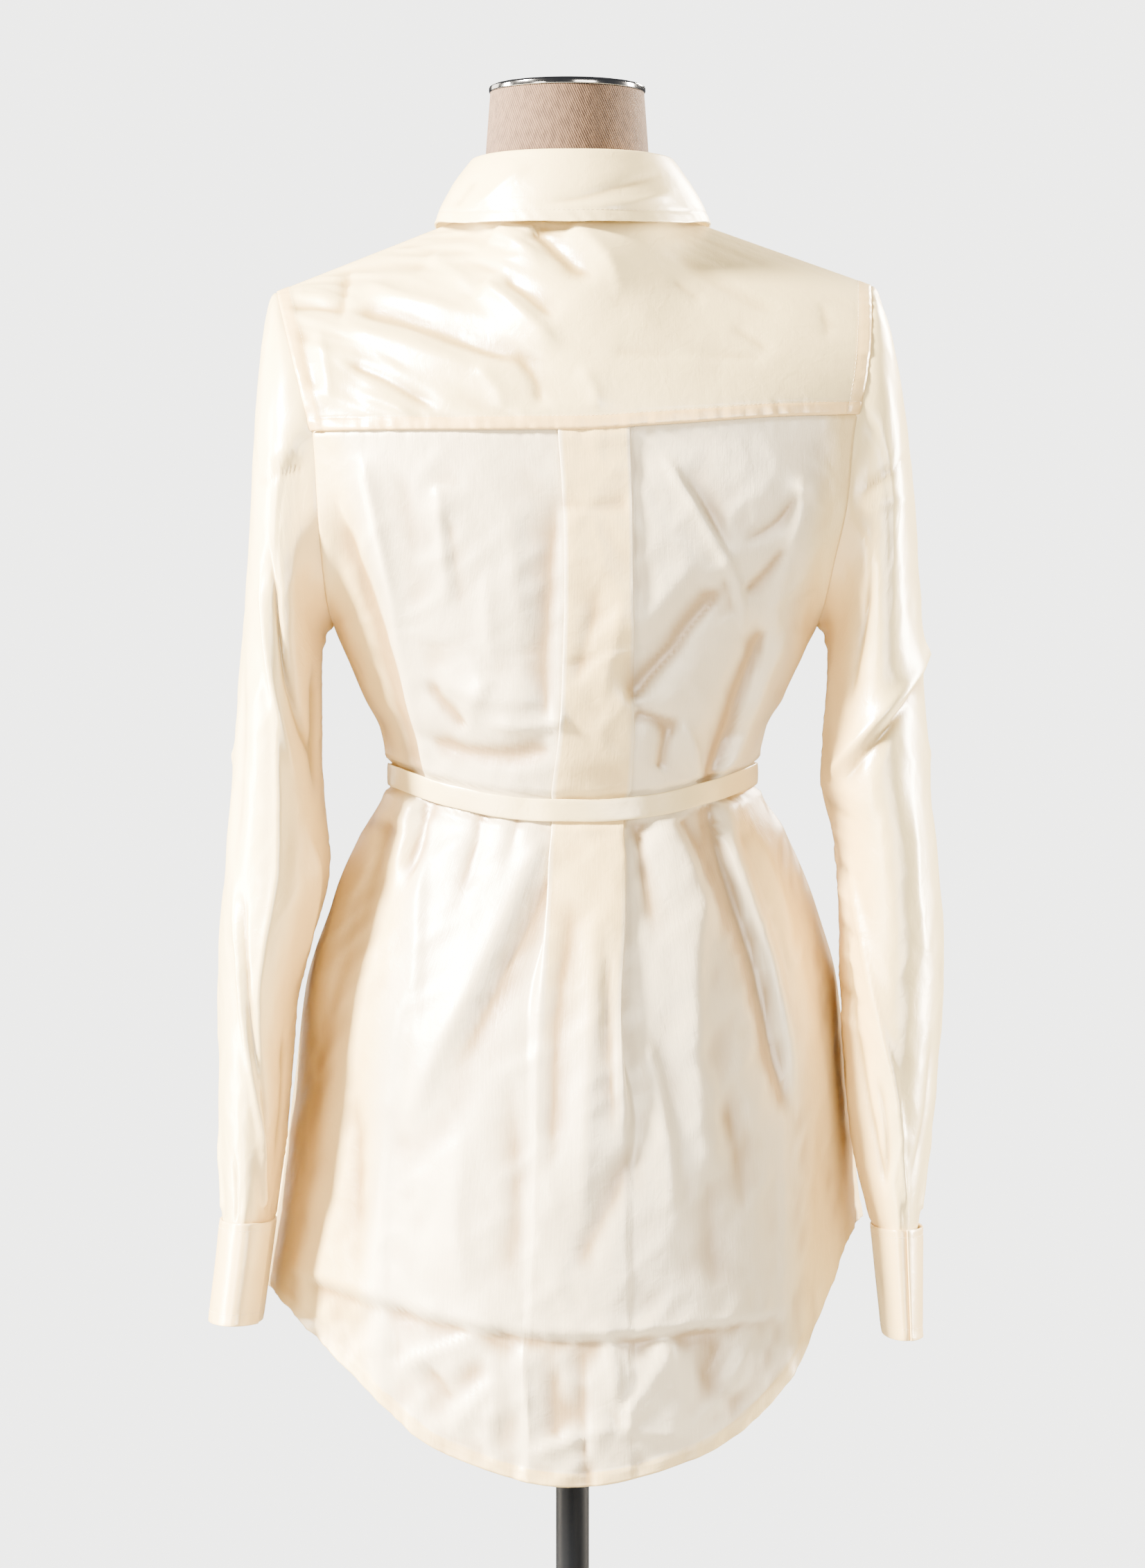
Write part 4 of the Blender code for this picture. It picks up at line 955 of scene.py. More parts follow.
    def armhole(self, side: Side, count: int) -> Array:
        """Line of the armhole seam: down the back from the shoulder, and up the front.

        Args:
            side: which armhole.
            count: number of points, half of them behind.

        Returns:
            The closed line, evenly spaced on each half.
        """
        steps = 60
        end = np.full(steps, float(side))
        yoke = self.yoke_point(end, np.linspace(1, 0, steps, endpoint=False))
        top = float(BACK_EDGES.at("yoke", np.array([float(side)]))[0])
        back, _ = self.trunk(Face.BACK, end, np.linspace(top, self.armpit, steps))
        rising = np.linspace(self.armpit, self.front_line, steps, endpoint=False)
        front, _ = self.trunk(Face.FRONT, end, rising)
        chest = self.front_point(end, np.linspace(0, 1, steps))
        halves = []
        for half in (np.concatenate([yoke, back]), np.concatenate([front, chest])):
            run = run_along(half)
            marks = np.linspace(0, run[-1], count // 2, endpoint=False)
            halves.append(at_run(marks, run, half))
        return np.concatenate(halves)

    def let_in(self, height: Array, face: Face, share: Array, z: Array) -> Array:
        """Keeps folds (in mm) clear of the belt above them and of the dress form below them.

        Ridges are 0.8 mm high and troughs 4.2 mm deep at most where the belt holds the cloth.
        From 20 mm above and below its middle, ridges may reach 10 mm and troughs 7.5 mm.
        """
        free = ease((np.abs(z - self.belt_height(face, share)) / MM - 8.0) / 12.0)
        most, least = 0.8 + 9.2 * free, 4.2 + 3.3 * free
        return np.where(height > 0, most * np.tanh(height / most), least * np.tanh(height / least))


def edge_rows(count: int, length: float, hem: float = 12 * MM) -> Array:
    """Shares from 0 to 1 down a panel, closer together within hem of the lower edge."""
    start, close = 1 - hem / length, 10
    rows = np.linspace(0, start, count - close, endpoint=False)
    return np.concatenate([rows, np.linspace(start, 1, close)])


def packed_wrinkles(u: Array, v: Array, seed: int, strength: float | Array) -> Array:
    """Soft uneven relief, in mm, that folded satin keeps: broad waves with smaller ones on them."""
    broad = 0.9 * uneven(u / 48 + 3, v / 80 + 5, seed)
    middle = 0.42 * uneven(u / 19 + 7, v / 33 + 1, seed + 1)
    small = 0.13 * uneven(u / 7 + 2, v / 10 + 9, seed + 2)
    crisp = -1.5 * np.abs(uneven((u + v) / 44 + 1, (u - v) / 30 + 60, seed + 3))
    crisp -= 0.8 * np.abs(uneven((u - v) / 27 + 60, (u + 0.6 * v) / 17 + 5, seed + 4))
    return 1.5 * strength * (broad + middle + small + crisp)


def puckers(run: Array, distance: Array, seed: int, depth: float, reach: float) -> Array:
    """Gathered look of a sewn edge, in mm: short uneven waves along it that die away from it."""
    broad = uneven(run / 5.5, distance / 30, seed)
    small = uneven(run / 2.9, distance / 20, seed + 1)
    return depth * (broad + 0.6 * small) * np.exp(-((distance / reach) ** 2))


def groove(distance: Array, at: float, depth: float = 0.35, width: float = 0.9) -> Array:
    """Dent of a row of stitches, in mm, at a distance from an edge."""
    return -depth * np.exp(-(((distance - at) / width) ** 2))


def above_hem(z: Array, low: Array, edge: Array) -> Array:
    """Distance in mm of heights z from a slanting hem, at heights low along its edge's points."""
    step = np.linalg.norm(np.gradient(edge, axis=0), axis=1)
    slope = np.gradient(low[-1]) / np.maximum(step, 1e-9)
    return (z - low) / MM * np.sqrt(np.clip(1 - slope**2, 0.05, 1))


# ---- back panel ----

# Every table of creases: sizes as in laid, a bar, and (across, up) points in mm; across is
# towards the wearer's left.
BACK_CREASES = """
above the belt, on the wearer's left:
3.4 4.5 12 0.1 0.85 | 87 1228, 85 1195, 80 1132
-3 6 13 0.3 0.65 | 82 1218, 77 1182, 70 1130
5 5 8 0.1 0.02 0.8 | 137 1250, 126 1200, 116 1150, 107 1097, 93 1034
-8.5 12 5 0.25 0.02 0.6 | 156 1225, 141 1180, 127 1135, 115 1090, 99 1032
-4.2 5 12 0.3 0.1 | 96 1104, 86 1087, 70 1070
3.4 5 11 | 72 1070, 64 1084, 50 1104
5.5 5 13 0.35 0.12 0.8 | 58 1074, 34 1069, 2 1074
-8 9 9 0.35 0.25 0.9 | 106 1070, 78 1057, 40 1052, 8 1059
4.6 11 22 | 98 1106, 64 1090, 30 1087, 10 1094
-4.3 18 5 0.25 0.1 | 8 1235, 15 1150, 17 1090, 14 1058
2 6 12 | 57 1178, 55 1135, 50 1104
2.2 16 12 0.4 0.4 | 40 1226, 36 1160, 30 1108
2 7 11 | 150 1222, 146 1190, 136 1158
-2 11 15 0.3 0.5 | 111 1242, 104 1200, 102 1150
above the belt, on the right:
3.4 6 4.5 0.15 0.2 | -56 1248, -76 1217, -92 1190, -106 1162, -110 1135, -113 1110
-2.6 4.5 14 | -64 1242, -88 1206, -104 1176
-7.4 11 7 0.15 0.15 0.9 | -98 1162, -81 1142, -65 1121, -51 1105, -34 1084
2.8 16 12 | -84 1182, -58 1150, -30 1120
-2.5 5 6 0.2 0.3 | -96 1172, -106 1144, -114 1116
-3.1 5 10 0.15 0.35 | -149 1224, -132 1203, -108 1188
-3.1 5 10 0.2 0.3 | -142 1190, -122 1168, -108 1154
4 5 13 0.15 0.3 | -148 1240, -146 1206, -139 1180, -130 1145, -126 1100
-4.4 8 6 0.1 0.2 | -39 1080, -54 1077, -72 1069
-4 7 5 0.3 0.1 | -66 1078, -61 1060, -57 1042
3.8 7 6 0.4 0.05 | -72 1076, -79 1056, -84 1036
-8.5 10 5 0.2 0.02 0.5 | -130 1142, -115 1105, -103 1070, -89 1030
7.5 5 15 0.2 0.03 0.5 | -139 1141, -124 1103, -112 1070, -97 1032
below the belt, on the left:
-8 5 9 0.02 0.5 0.7 | 95 1024, 100 1000, 112 962
5.5 16 5 0.02 0.6 0.8 | 103 1024, 109 1000, 122 955
3.1 14 5 0.03 0.05 | 94 1018, 99 962, 101 912, 112 878, 118 820, 121 760, 121 634
1.6 5 5 | 100 918, 100 876, 100 833
7.6 22 8 0.08 0.25 | 14 1003, 29 980, 52 929, 72 889, 89 855, 112 800
-4.3 8 20 0.2 0.4 | 7 985, 36 930, 58 885, 80 840
-5 10 16 0.25 0.3 | -1 972, 4 925, 10 880, 13 770
3.1 12 12 | -16 975, -13 900, -9 820, -5 730
-5 16 18 0.05 0.4 | 118 1015, 146 935, 168 850, 182 760
4 9 14 0.05 0.4 | 140 1010, 160 930, 176 840
-3.4 6 10 0.02 0.6 | 60 1016, 66 985, 80 940
-2.5 5 6 0.02 0.6 | 36 1014, 39 995, 44 970
3.1 20 12 0.4 0.3 | 70 825, 74 760, 70 698
-3.4 12 16 0.4 0.3 | 42 860, 36 780, 40 702
-3.7 14 10 0.4 0.3 | 150 860, 140 790, 144 720
below the belt, on the right:
-3.1 9 4.5 | -24 940, -23 880, -26 800
-3.4 5 10 0.05 0.5 | -42 1010, -47 970, -54 925
5 22 9 0.05 0.3 | -60 1014, -84 963, -80 927, -81 870, -85 750
3.7 14 6 0.15 0.3 | -44 880, -54 845, -62 800, -66 740
-3.4 6 10 0.05 0.4 | -70 1012, -92 972, -106 935
2.5 10 6 | -87 860, -91 820, -88 775
-2.6 12 16 0.4 0.4 | -98 840, -106 800, -112 750
2 4.5 5 0.15 0.1 | -136 830, -137 750, -135 685
-2.6 15 18 0.4 0.3 | -84 805, -90 745, -92 702
-3.7 14 13 | -42 810, -20 760, 4 715
5 16 11 0.1 0.3 | -118 1010, -140 940, -160 850, -172 765
-4 9 11 0.1 0.4 | -106 1012, -132 930, -152 850
-8.5 11 5 0.02 0.3 0.6 | -90 1022, -97 990, -109 951, -121 914, -128 880, -134 845, -139 810
7.5 5 18 0.02 0.3 0.6 | -97 1022, -104 988, -117 949, -128 912, -136 874, -142 840, -146 806
the tail, under the packing fold:
3.1 4.5 13 0.03 0.05 | 188 718, 123 704, 75 693, 22 686, -33 686, -92 690, -138 696
-2.6 10 5 0.05 0.08 | 176 709, 75 686, 22 679, -33 679, -132 689
-2.8 6 4.5 0.3 0.02 | -6 680, -7 629, -10 586
3.1 10 5 | -21 692, -27 660, -29 630
3.7 6 12 0.2 0.2 | -66 680, -46 651, -29 626
2.9 6 10 0.15 0.4 | -28 627, -50 620, -80 618
2.9 10 6 0.3 0.15 | 32 607, -9 620, -28 627
3.6 6 11 | 45 660, 66 636, 88 612
2.8 6 5 | 44 660, 50 632, 55 602
3.1 11 5 | 33 692, 30 650, 27 606
3.1 11 5 | 122 655, 90 670, 52 688
-2.6 12 16 0.4 0.4 | -100 690, -90 664, -78 636
-2.8 7 9 | 8 672, 12 640, 6 606
3.4 6 11 | -122 692, -110 668, -94 644
-2.5 7 6 | 98 668, 84 650, 74 634
2.8 9 11 0.3 0.3 | -54 692, -62 664, -72 636
on the pleat's strip:
-1.2 4.5 6 0.1 0.1 | 9 1213, -14 1211, -37 1214
-2.3 9 10 | -19 1165, -9 1125, 1 1090
2 10 12 | -36 1165, -26 1120, -15 1078
"""


@dataclass
class BackPanel:
    """The back below the yoke, with its pressed box pleat, waist tucks and shirt-tail hem."""

    form: BlouseForm
    wardrobe: Wardrobe
    rows: int = 246
    side_columns: int = 68
    strip_columns: int = 17
    bend_points: int = 5
    hem_band: float = 9.0  # mm that the hem is turned up
    blend: float = 0.45  # share of a side over which the cloth sinks from the strip's level

    def pleat_line(self, opened: Array, place: Array) -> tuple:
        """Line across one edge of the box pleat, away from the strip and in depth.

        The cloth turns under the strip on a small arc, runs back by the lap, and turns out again
        on a like arc. As the pleat opens, both arcs turn through less and grow wider.

        Args:
            opened: 0 where the pleat is pressed, 1 where it has opened out.
            place: 0 to 1 round the first arc, 1 to 2 round the second one.

        Returns:
            The distance away from the strip and the depth.
        """
        turn = np.radians(180.0 * (1 - opened) + 12.0 * opened)
        bend = self.form.pleat_bend + 0.011 * opened**3
        lap = self.form.pleat_lap * (1 - opened) ** 1.5 + 0.003 * opened
        first = turn * np.minimum(place, 1.0)
        x, y = bend * np.sin(first), bend * (np.cos(first) - 1)
        later = place > 1.0
        heading = -turn * np.where(later, 2.0 - place, 1.0)
        x2 = bend * np.sin(turn) + lap * np.cos(turn) + bend * (np.sin(heading) + np.sin(turn))
        y2 = bend * (np.cos(turn) - 1) - lap * np.sin(turn)
        y2 = y2 + bend * (np.cos(turn) - np.cos(heading))
        return np.where(later, x2, x), np.where(later, y2, y)

    def edge_fold(self, name: str, z: Array, place: Array) -> tuple:
        """Line across the strip's left or right edge at heights z, half above the cloth's level."""
        opened = np.clip(PLEAT.at(f"{name}_open", z), 0.0, 1.0)
        away, deep = self.pleat_line(opened, place)
        return away, deep - self.pleat_line(opened, np.array(2.0))[1] / 2

    def columns(self, z: Array) -> tuple:
        """Share and depth of every column at its own heights z, over rows and columns."""
        bends, sides, strip = self.bend_points, self.side_columns, self.strip_columns
        arcs = [np.linspace(0, 1, bends), np.linspace(1.0001, 2, bends), np.full(sides, 2.0)]
        out = np.concatenate([np.zeros(2 * bends), np.arange(1, sides + 1) / sides])
        share, depth = np.zeros_like(z), np.zeros_like(z)
        for side in Side:
            left = side == Side.LEFT
            order = slice(len(out) - 1, None, -1) if left else slice(z.shape[1] - len(out), None)
            own, name = z[:, order], side.name.lower()
            away, deep = self.edge_fold(name, own, np.concatenate(arcs))
            at = self.form.share_at(Face.BACK, PLEAT.at(name, own) + side * away, own)
            share[:, order] = at + (side - at) * out
            depth[:, order] = deep * ease(1 - out / self.blend)
        middle = slice(len(out), len(out) + strip)
        own = z[:, middle]
        t = np.arange(1, strip + 1) / (strip + 1)
        left, right = PLEAT.at("left", own), PLEAT.at("right", own)
        share[:, middle] = self.form.share_at(Face.BACK, left + (right - left) * t, own)
        lifts = [self.edge_fold(name, own, np.array(0.0))[1] for name in ("left", "right")]
        depth[:, middle] = lifts[0] * (1 - t) + lifts[1] * t
        return np.clip(share, -1.0, 1.0), depth

    def surface(self) -> tuple:
        """Points and outward directions with the pleat laid in, then shares and hem heights."""
        count = 2 * (2 * self.bend_points + self.side_columns) + self.strip_columns
        share = np.linspace(1, -1, count) * np.ones((self.rows, 1))
        down = edge_rows(self.rows, 0.66)[:, None]
        for _ in range(4):
            top = BACK_EDGES.at("yoke", share) + 2.5 * MM
            low = BACK_EDGES.at("hem", share)
            z = top + (low - top) * down
            share, depth = self.columns(z)
        points, outward = self.form.trunk(Face.BACK, share, z)
        free = ease((z - 1.085) / 0.03) * ease((1.235 - z) / 0.03)
        points = smoothed(points, 0, SPAN_PASSES, free * ease((1 - np.abs(share)) / 0.12))
        return points, outward, depth, share, low, z

    def grid(self) -> tuple:
        """The back as a grid with the creases over its surface, and its distance from the hem."""
        form = self.form
        points, outward, depth, share, low, z = self.surface()
        hem = above_hem(z, low, points[-1])
        yoke = (BACK_EDGES.at("yoke", share) - z) / MM
        grid = ClothGrid(points + outward * depth[..., None], outward)
        run, far, _, _ = grid.edges()
        seam = np.minimum(run, far)
        x, up = points[..., 0], z / MM
        height = crease_height(laid(BACK_CREASES), x / MM, up)
        packed = packed_wrinkles(run, up, 11, 0.5 + 0.5 * ease((720 - up) / 50))
        height = form.let_in(height + packed * ease(yoke / 20), Face.BACK, share, z)
        height = height * ease(seam / 16) * ease((yoke + 2) / 14)
        height += puckers(run, yoke, 21, 0.45, 12) * ease(seam / 10)
        height += puckers(run, hem, 31, 0.55, 11) * ease(seam / 10)
        height -= SEAM_DENT * np.exp(-((seam / 2.4) ** 2)) * (up < form.armpit / MM)
        height -= 1.5 * ease((1.5 - yoke) / 2.5)
        band = ease((self.hem_band + 0.4 - hem) / 0.8)
        height += HEM_STEP * band + groove(hem, self.hem_band - HEM_STITCH)
        strip = ease((x - PLEAT.at("right", z)) / 0.002) * ease((PLEAT.at("left", z) - x) / 0.002)
        left, right = x - PACKING.at("left", z), PACKING.at("right", z) - x
        strip = strip * ease((up - 820) / 140)
        # warm tone: layered cloth on the pleat's strip and the hem band; on the sides beyond the
        # packing folds, partly a warmer cloth and partly painted golden shade
        grid.tone = np.clip(strip + (ease(left / 0.02) + ease(right / 0.02)) + band, 0, 1)
        raised = grid.raised(height)
        raised.layers = 0.45 + 0.55 * band
        return raised, hem

    def build(self) -> Piece:
        """Builds the panel and its hem stitches."""
        grid, hem = self.grid()
        panel = grid.built("back_panel_cloth", self.wardrobe.crepe, 1.0 * MM)
        dress(panel, ("back_panel",))
        line = grid.traced(hem, self.hem_band - HEM_STITCH)
        sewn = Stitch().sewn("back_hem_stitches", [line], self.wardrobe.thread)
        return panel


# ---- yoke ----

YOKE_CREASES = """
-3.5 9 4.5 0.2 0.5 | 149 1378, 151 1355, 153 1330
-2.4 4.5 5 0.1 0.4 | 186 1349, 168 1348, 148 1344
1.8 4.5 5 0.1 0.4 | 184 1356, 168 1355, 152 1352
-5 8 15 0.15 0.3 | 150 1348, 116 1337, 78 1323, 38 1308, 8 1300
3.4 9 10 0.2 0.4 | 154 1332, 114 1320, 74 1305, 34 1292
3.8 11 11 0.2 0.4 | 142 1366, 110 1352, 78 1341, 54 1337
-3.8 6 11 0.2 0.3 | 152 1310, 123 1297, 103 1284, 82 1274
2.9 6 7 | 142 1288, 118 1278, 98 1270
4.8 12 4.5 0.1 0.3 | 58 1362, 35 1340, 18 1324, 5 1312
-3 4.5 14 0.2 0.3 | 48 1364, 30 1348, 8 1330
-5.8 11 8 0.1 0.4 | 26 1398, 8 1380, -4 1368, -18 1358
4.2 8 16 0.1 0.5 | 2 1398, -14 1383, -26 1366, -32 1344
3.5 14 9 0.1 0.5 | 50 1398, 32 1383, 16 1366
2.9 14 10 0.2 0.4 | 96 1384, 76 1368, 60 1350
-1.1 4.5 5 | -61 1364, -74 1354, -88 1344
-1.2 4.5 8 | -100 1331, -117 1321, -132 1310
-1 4.5 8 | -162 1352, -165 1337, -166 1320
-0.9 4.5 10 0.1 0.1 | -24 1311, -76 1309, -128 1310
1.6 20 18 | -30 1345, -60 1322, -96 1300
-1.7 18 18 | -58 1386, -100 1358, -145 1334
-2.6 6 10 | 38 1312, 24 1292, 20 1272
2.4 7 9 | 64 1306, 50 1288, 42 1272
1.8 8 7 | -4 1303, -14 1286, -16 1270
3.2 10 6 | 167 1336, 160 1305, 157 1276
-3 6 7 | 179 1342, 176 1310, 168 1280
"""


@dataclass
class BackYoke:
    """The yoke, from the seam across the back over the shoulders to the neckline."""

    form: BlouseForm
    wardrobe: Wardrobe
    rows: int = 76
    columns: int = 176
    band: float = 8.6  # mm from the seam to the row of stitches above it
    armhole_band: float = 9.0
    seam_share: float = 0.075  # share of its height where the rows lie closer, by the seam
    streak: tuple = (0.82, 0.57)  # direction of its wrinkles: across, and down to the seam

    def surface(self) -> Array:
        """Points of the yoke, evened out across where it spans the shoulder blades."""
        share = np.linspace(1, -1, self.columns) * np.ones((self.rows, 1))
        by_seam = np.linspace(0, self.seam_share, 12, endpoint=False)
        t = np.concatenate([by_seam, np.linspace(self.seam_share, 1, self.rows - 12)])
        t = t[::-1, None] * np.ones(self.columns)
        free = ease((1 - t) / 0.5) * ease((t - 0.03) / 0.12) * ease((1 - np.abs(share)) / 0.12)
        return smoothed(self.form.yoke_point(share, t), 1, 150, free)

    def build(self) -> Piece:
        """Builds the yoke, its stitched bands and their stitches."""
        points = self.surface()
        grid = ClothGrid.facing(points, (0.0, 0.0, 1.25))
        run, far, down, seam = grid.edges()
        ends = np.minimum(run, far)
        x, z = points[..., 0] / MM, points[..., 2] / MM
        height = crease_height(laid(YOKE_CREASES), x, z)
        crushed = 0.14 + 0.52 * ease((x + 20) / 60)  # the wearer's left half is the rumpled one
        a, b = self.streak
        across, along = b * run + a * seam, a * run - b * seam
        height = height + packed_wrinkles(1.6 * across, 0.5 * along, 41, crushed)
        height = height * ease(seam / 9) * ease(ends / 14) * ease(down / 14)
        height += puckers(run, seam, 51, 0.55, 10) * ease(ends / 8)
        height += puckers(seam, ends, 61, 0.35, 9)
        height += 0.25 * ease((self.band + 0.4 - seam) / 0.8) + groove(seam, self.band)
        beside = ease((self.armhole_band + 0.4 - ends) / 0.8)
        height += 0.2 * beside + groove(ends, self.armhole_band)
        height -= 0.8 * ease(1 - seam / 1.4)
        by_armhole = 0.8 * ease(self.armhole_band + 0.5 - ends)
        grid.tone = np.maximum(ease(self.band + 0.5 - seam), by_armhole)
        raised = grid.raised(height)
        yoke = raised.built("back_yoke_cloth", self.wardrobe.satin, 0.6 * MM)
        dress(yoke, ("back_yoke",))
        lines = [raised.traced(seam, self.band)]
        lines += [raised.traced_beside(edge, self.armhole_band) for edge in (run, far)]
        sewn = Stitch().sewn("yoke_stitches", lines, self.wardrobe.thread)
        return yoke


# ---- fronts ----

# One front, as on the wearer's left; the other one mirrors it.
FRONT_CREASES = """
-5.7 7 9 | 168 1250, 140 1205, 104 1172
5.2 9 9 0.2 0.1 | 160 1228, 142 1180, 132 1120, 112 1062
-6.3 8 10 0.2 0.2 | 158 1180, 128 1140, 100 1075
2.7 14 12 | 60 1360, 78 1300, 84 1230
-3.1 8 7 | 150 1350, 132 1310, 126 1270
-2.2 12 10 | 34 1330, 44 1270, 46 1200
6.3 9 12 0.03 0.2 | 104 1030, 122 950, 136 850, 140 730
-7.1 8 10 0.02 0.5 | 88 1030, 104 940, 112 840
4.9 12 12 0.2 0.2 | 60 960, 74 860, 76 740
-4.3 10 9 0.3 0.3 | 45 940, 50 840, 48 720
-4.3 10 10 | 170 900, 172 820, 168 740
1.1 2.6 3.4 0.1 0.1 | 30 830, 90 838, 150 832
"""


@dataclass
class Fronts:
    """Both fronts and the button placket: the right front laps over the left one."""

    form: BlouseForm
    wardrobe: Wardrobe
    lap_share: float = 0.10
    right_edge_share: float = 0.066
    placket_share: float = 0.075
    rise_share: float = 0.24
    right_lift: float = 2.4 * MM
    placket_lift: float = 4.3 * MM
    placket_stitch: float = 4.0  # mm from its edge
    top_rows: int = 62
    low_rows: int = 150
    columns: int = 104
    hem_band: float = 9.0
    untrimmed: float = 34.0  # mm beside the inner edge where no hem stitches show

    def gathers(self, side: Side) -> list:
        """Uneven troughs that run up and down from the belt on one front."""
        draw = np.random.default_rng(70 + side)
        belt = self.form.belt_front / MM - 3
        folds = []
        for i in range(7):
            x = side * (30 + 13.5 * i + draw.uniform(-3, 3))
            fan = side * (2 + 1.6 * i)
            down, up = draw.uniform(60, 190), draw.uniform(25, 75)
            wide = draw.uniform(3.0, 5.5)
            line = ((x, belt), (x + fan, belt - down / 2), (x + 2.4 * fan, belt - down))
            folds.append(Crease(line, -draw.uniform(2.5, 6), wide, wide * 1.5, 0.02, 0.6))
            line = ((x, belt), (x + 0.5 * fan, belt + up))
            folds.append(Crease(line, -draw.uniform(1.2, 3.2), wide, wide, 0.02, 0.6))
        return folds

    def surface(self, shares: Array, lift: Array) -> Array:
        """Points of the fronts over a line of shares, lifted off the surface of the body."""
        form = self.form
        t = np.linspace(1, 0, self.top_rows, endpoint=False)[:, None] * np.ones_like(shares)
        top = form.front_point(shares * np.ones_like(t), t)
        down = edge_rows(self.low_rows, 0.54)[:, None]
        z = form.front_line + (FRONT_HEM.at("hem", shares) - form.front_line) * down
        lower, outward = form.trunk(Face.FRONT, shares * np.ones_like(z), z)
        points = np.concatenate([top, lower])
        z, size = points[..., 2], np.abs(shares)
        free = ease((z - 1.085) / 0.03) * ease((1.33 - z) / 0.05)
        free = free * ease((1 - size) / 0.12) * ease((size - 0.1) / 0.3)
        outward = np.concatenate([outward[:1] * np.ones_like(top), outward])
        return smoothed(points, 0, SPAN_PASSES, free) + outward * lift[:, None]

    def front(self, side: Side) -> Piece:
        """Builds one front with its hem band, and puckers along its armhole."""
        form = self.form
        inner = -self.lap_share if side == Side.LEFT else -self.right_edge_share
        shares = side * np.linspace(1, inner, self.columns)
        lift = np.zeros_like(shares)
        if side == Side.RIGHT:
            rise = self.rise_share - self.lap_share - 0.01
            lift = self.right_lift * ease((shares + self.rise_share) / rise)
        points = self.surface(shares, lift)
        grid = ClothGrid.facing(points, (0.0, 0.0, 1.0))
        z = points[..., 2]
        share = shares * np.ones_like(z)
        run, inner_run, down, _ = grid.edges()
        hem = above_hem(z, FRONT_HEM.at("hem", shares)[None], points[-1])
        creases = laid(FRONT_CREASES, side) + self.gathers(side)
        height = crease_height(creases, points[..., 0] / MM, z / MM)
        height = height + packed_wrinkles(run, z / MM, 80 + side, 0.6)
        height = form.let_in(height, Face.FRONT, share, z)
        clear = ease((np.abs(share) - 0.13) / 0.12)  # of the placket
        height = height * ease(run / 16) * clear * ease(down / 16)
        height += puckers(run, hem, 91 + side, 0.5, 11) * ease(run / 10) * clear
        height += puckers(down, run, 97 + side, 0.3, 9) * (z > form.armpit)
        height -= SEAM_DENT * np.exp(-((run / 2.4) ** 2)) * (z < form.armpit)
        band = ease((self.hem_band + 0.4 - hem) / 0.8)
        height += (HEM_STEP * band + groove(hem, self.hem_band - HEM_STITCH)) * clear
        grid.tone = band
        raised = grid.raised(height)
        raised.layers = 0.5 + 0.5 * band * clear
        node = f"front_{side.name.lower()}"
        piece = raised.built(f"{node}_cloth", self.wardrobe.satin, 0.9 * MM)
        dress(piece, (node,))
        shown = inner_run[-1] > self.untrimmed
        line, outward = raised.traced(hem, self.hem_band - HEM_STITCH)
        lines = [(line[shown], outward[shown])]
        sewn = Stitch().sewn(f"{node}_hem_stitches", lines, self.wardrobe.thread)
        return piece

    def placket(self) -> Piece:
        """Builds the placket with a row of stitches along each of its edges."""
        shares = np.linspace(self.placket_share, -self.placket_share, 26)
        points = self.surface(shares, np.full(26, self.placket_lift))
        grid = ClothGrid.facing(points, (0.0, 0.0, 1.0))
        run, far, down, _ = grid.edges()
        edge = np.minimum(run, far)
        height = groove(edge, self.placket_stitch, 0.3, 0.8) + puckers(down, edge, 131, 0.22, 6)
        height += 0.35 * uneven(down / 40, edge / 30, 137)
        raised = grid.raised(height)
        piece = raised.built("placket_cloth", self.wardrobe.satin, 1.5 * MM)
        dress(piece, ("button_placket",))
        rounded_edges(piece, 0.45 * MM)
        lines = [raised.traced_beside(side, self.placket_stitch) for side in (run, far)]
        sewn = Stitch(lift=0.75 * MM).sewn("placket_stitches", lines, self.wardrobe.thread)
        return piece

    def build(self) -> list:
        """Builds both fronts and the placket."""
        return [self.front(Side.LEFT), self.front(Side.RIGHT), self.placket()]


# ---- sleeves and cuffs ----

# The creases of the sleeves have (degrees, up) points. Degrees run round the sleeve: 0 is
# outside, 90 behind, -90 in front and 180 beside the body.
LEFT_CREASES = """
-6 7 10 0.3 0.2 | 70 1196, 92 1136, 116 1092, 160 1046
4.2 10 7 | 56 1190, 76 1124, 98 1074, 126 1030
3.4 10 7 0.3 0.1 | 78 1130, 96 1050, 94 960, 96 890, 118 775
3.6 8 4.5 0.2 0.03 | 36 985, 62 920, 82 868, 108 808, 130 756
-3.4 6 9 0.2 0.1 | 52 975, 78 905, 102 850, 126 790
-1.5 5 5 | 40 1228, 72 1234, 112 1244
1.2 5 5 | 52 1243, 80 1249, 108 1254
-2.2 14 14 | 24 1130, 44 1050, 40 960
-5 14 14 | 150 1120, 160 1070, 150 1020
3.6 9 11 | 130 1010, 150 960, 160 900
-3 9 9 | 140 880, 150 830, 146 780
-2.2 5 5 0.5 0.02 | 60 800, 66 775, 70 752
"""
RIGHT_CREASES = """
-1.9 5 4.5 0.2 0.3 | 118 1219, 76 1236, 40 1248
1.5 5 5 0.2 0.3 | 114 1212, 72 1218, 40 1220
6 12 4.5 0.1 0.1 | 2 1126, 36 1110, 72 1088, 110 1062, 150 1036
-4.8 4.5 10 0.15 0.2 | 6 1114, 50 1091, 100 1059, 140 1032
3.4 10 6 0.2 0.05 | 150 1000, 130 940, 108 880, 86 820, 74 754
-3.6 7 12 0.2 0.1 | 164 950, 146 880, 128 820, 112 768
1.8 14 14 | 56 1040, 62 970, 52 900
1 18 18 | 28 1180, 40 1120, 34 1070
-4.2 10 10 | 104 1180, 120 1124, 130 1080
-2.6 6 9 | 118 850, 104 806, 112 768
-2 10 10 | 40 880, 44 820, 60 770
"""
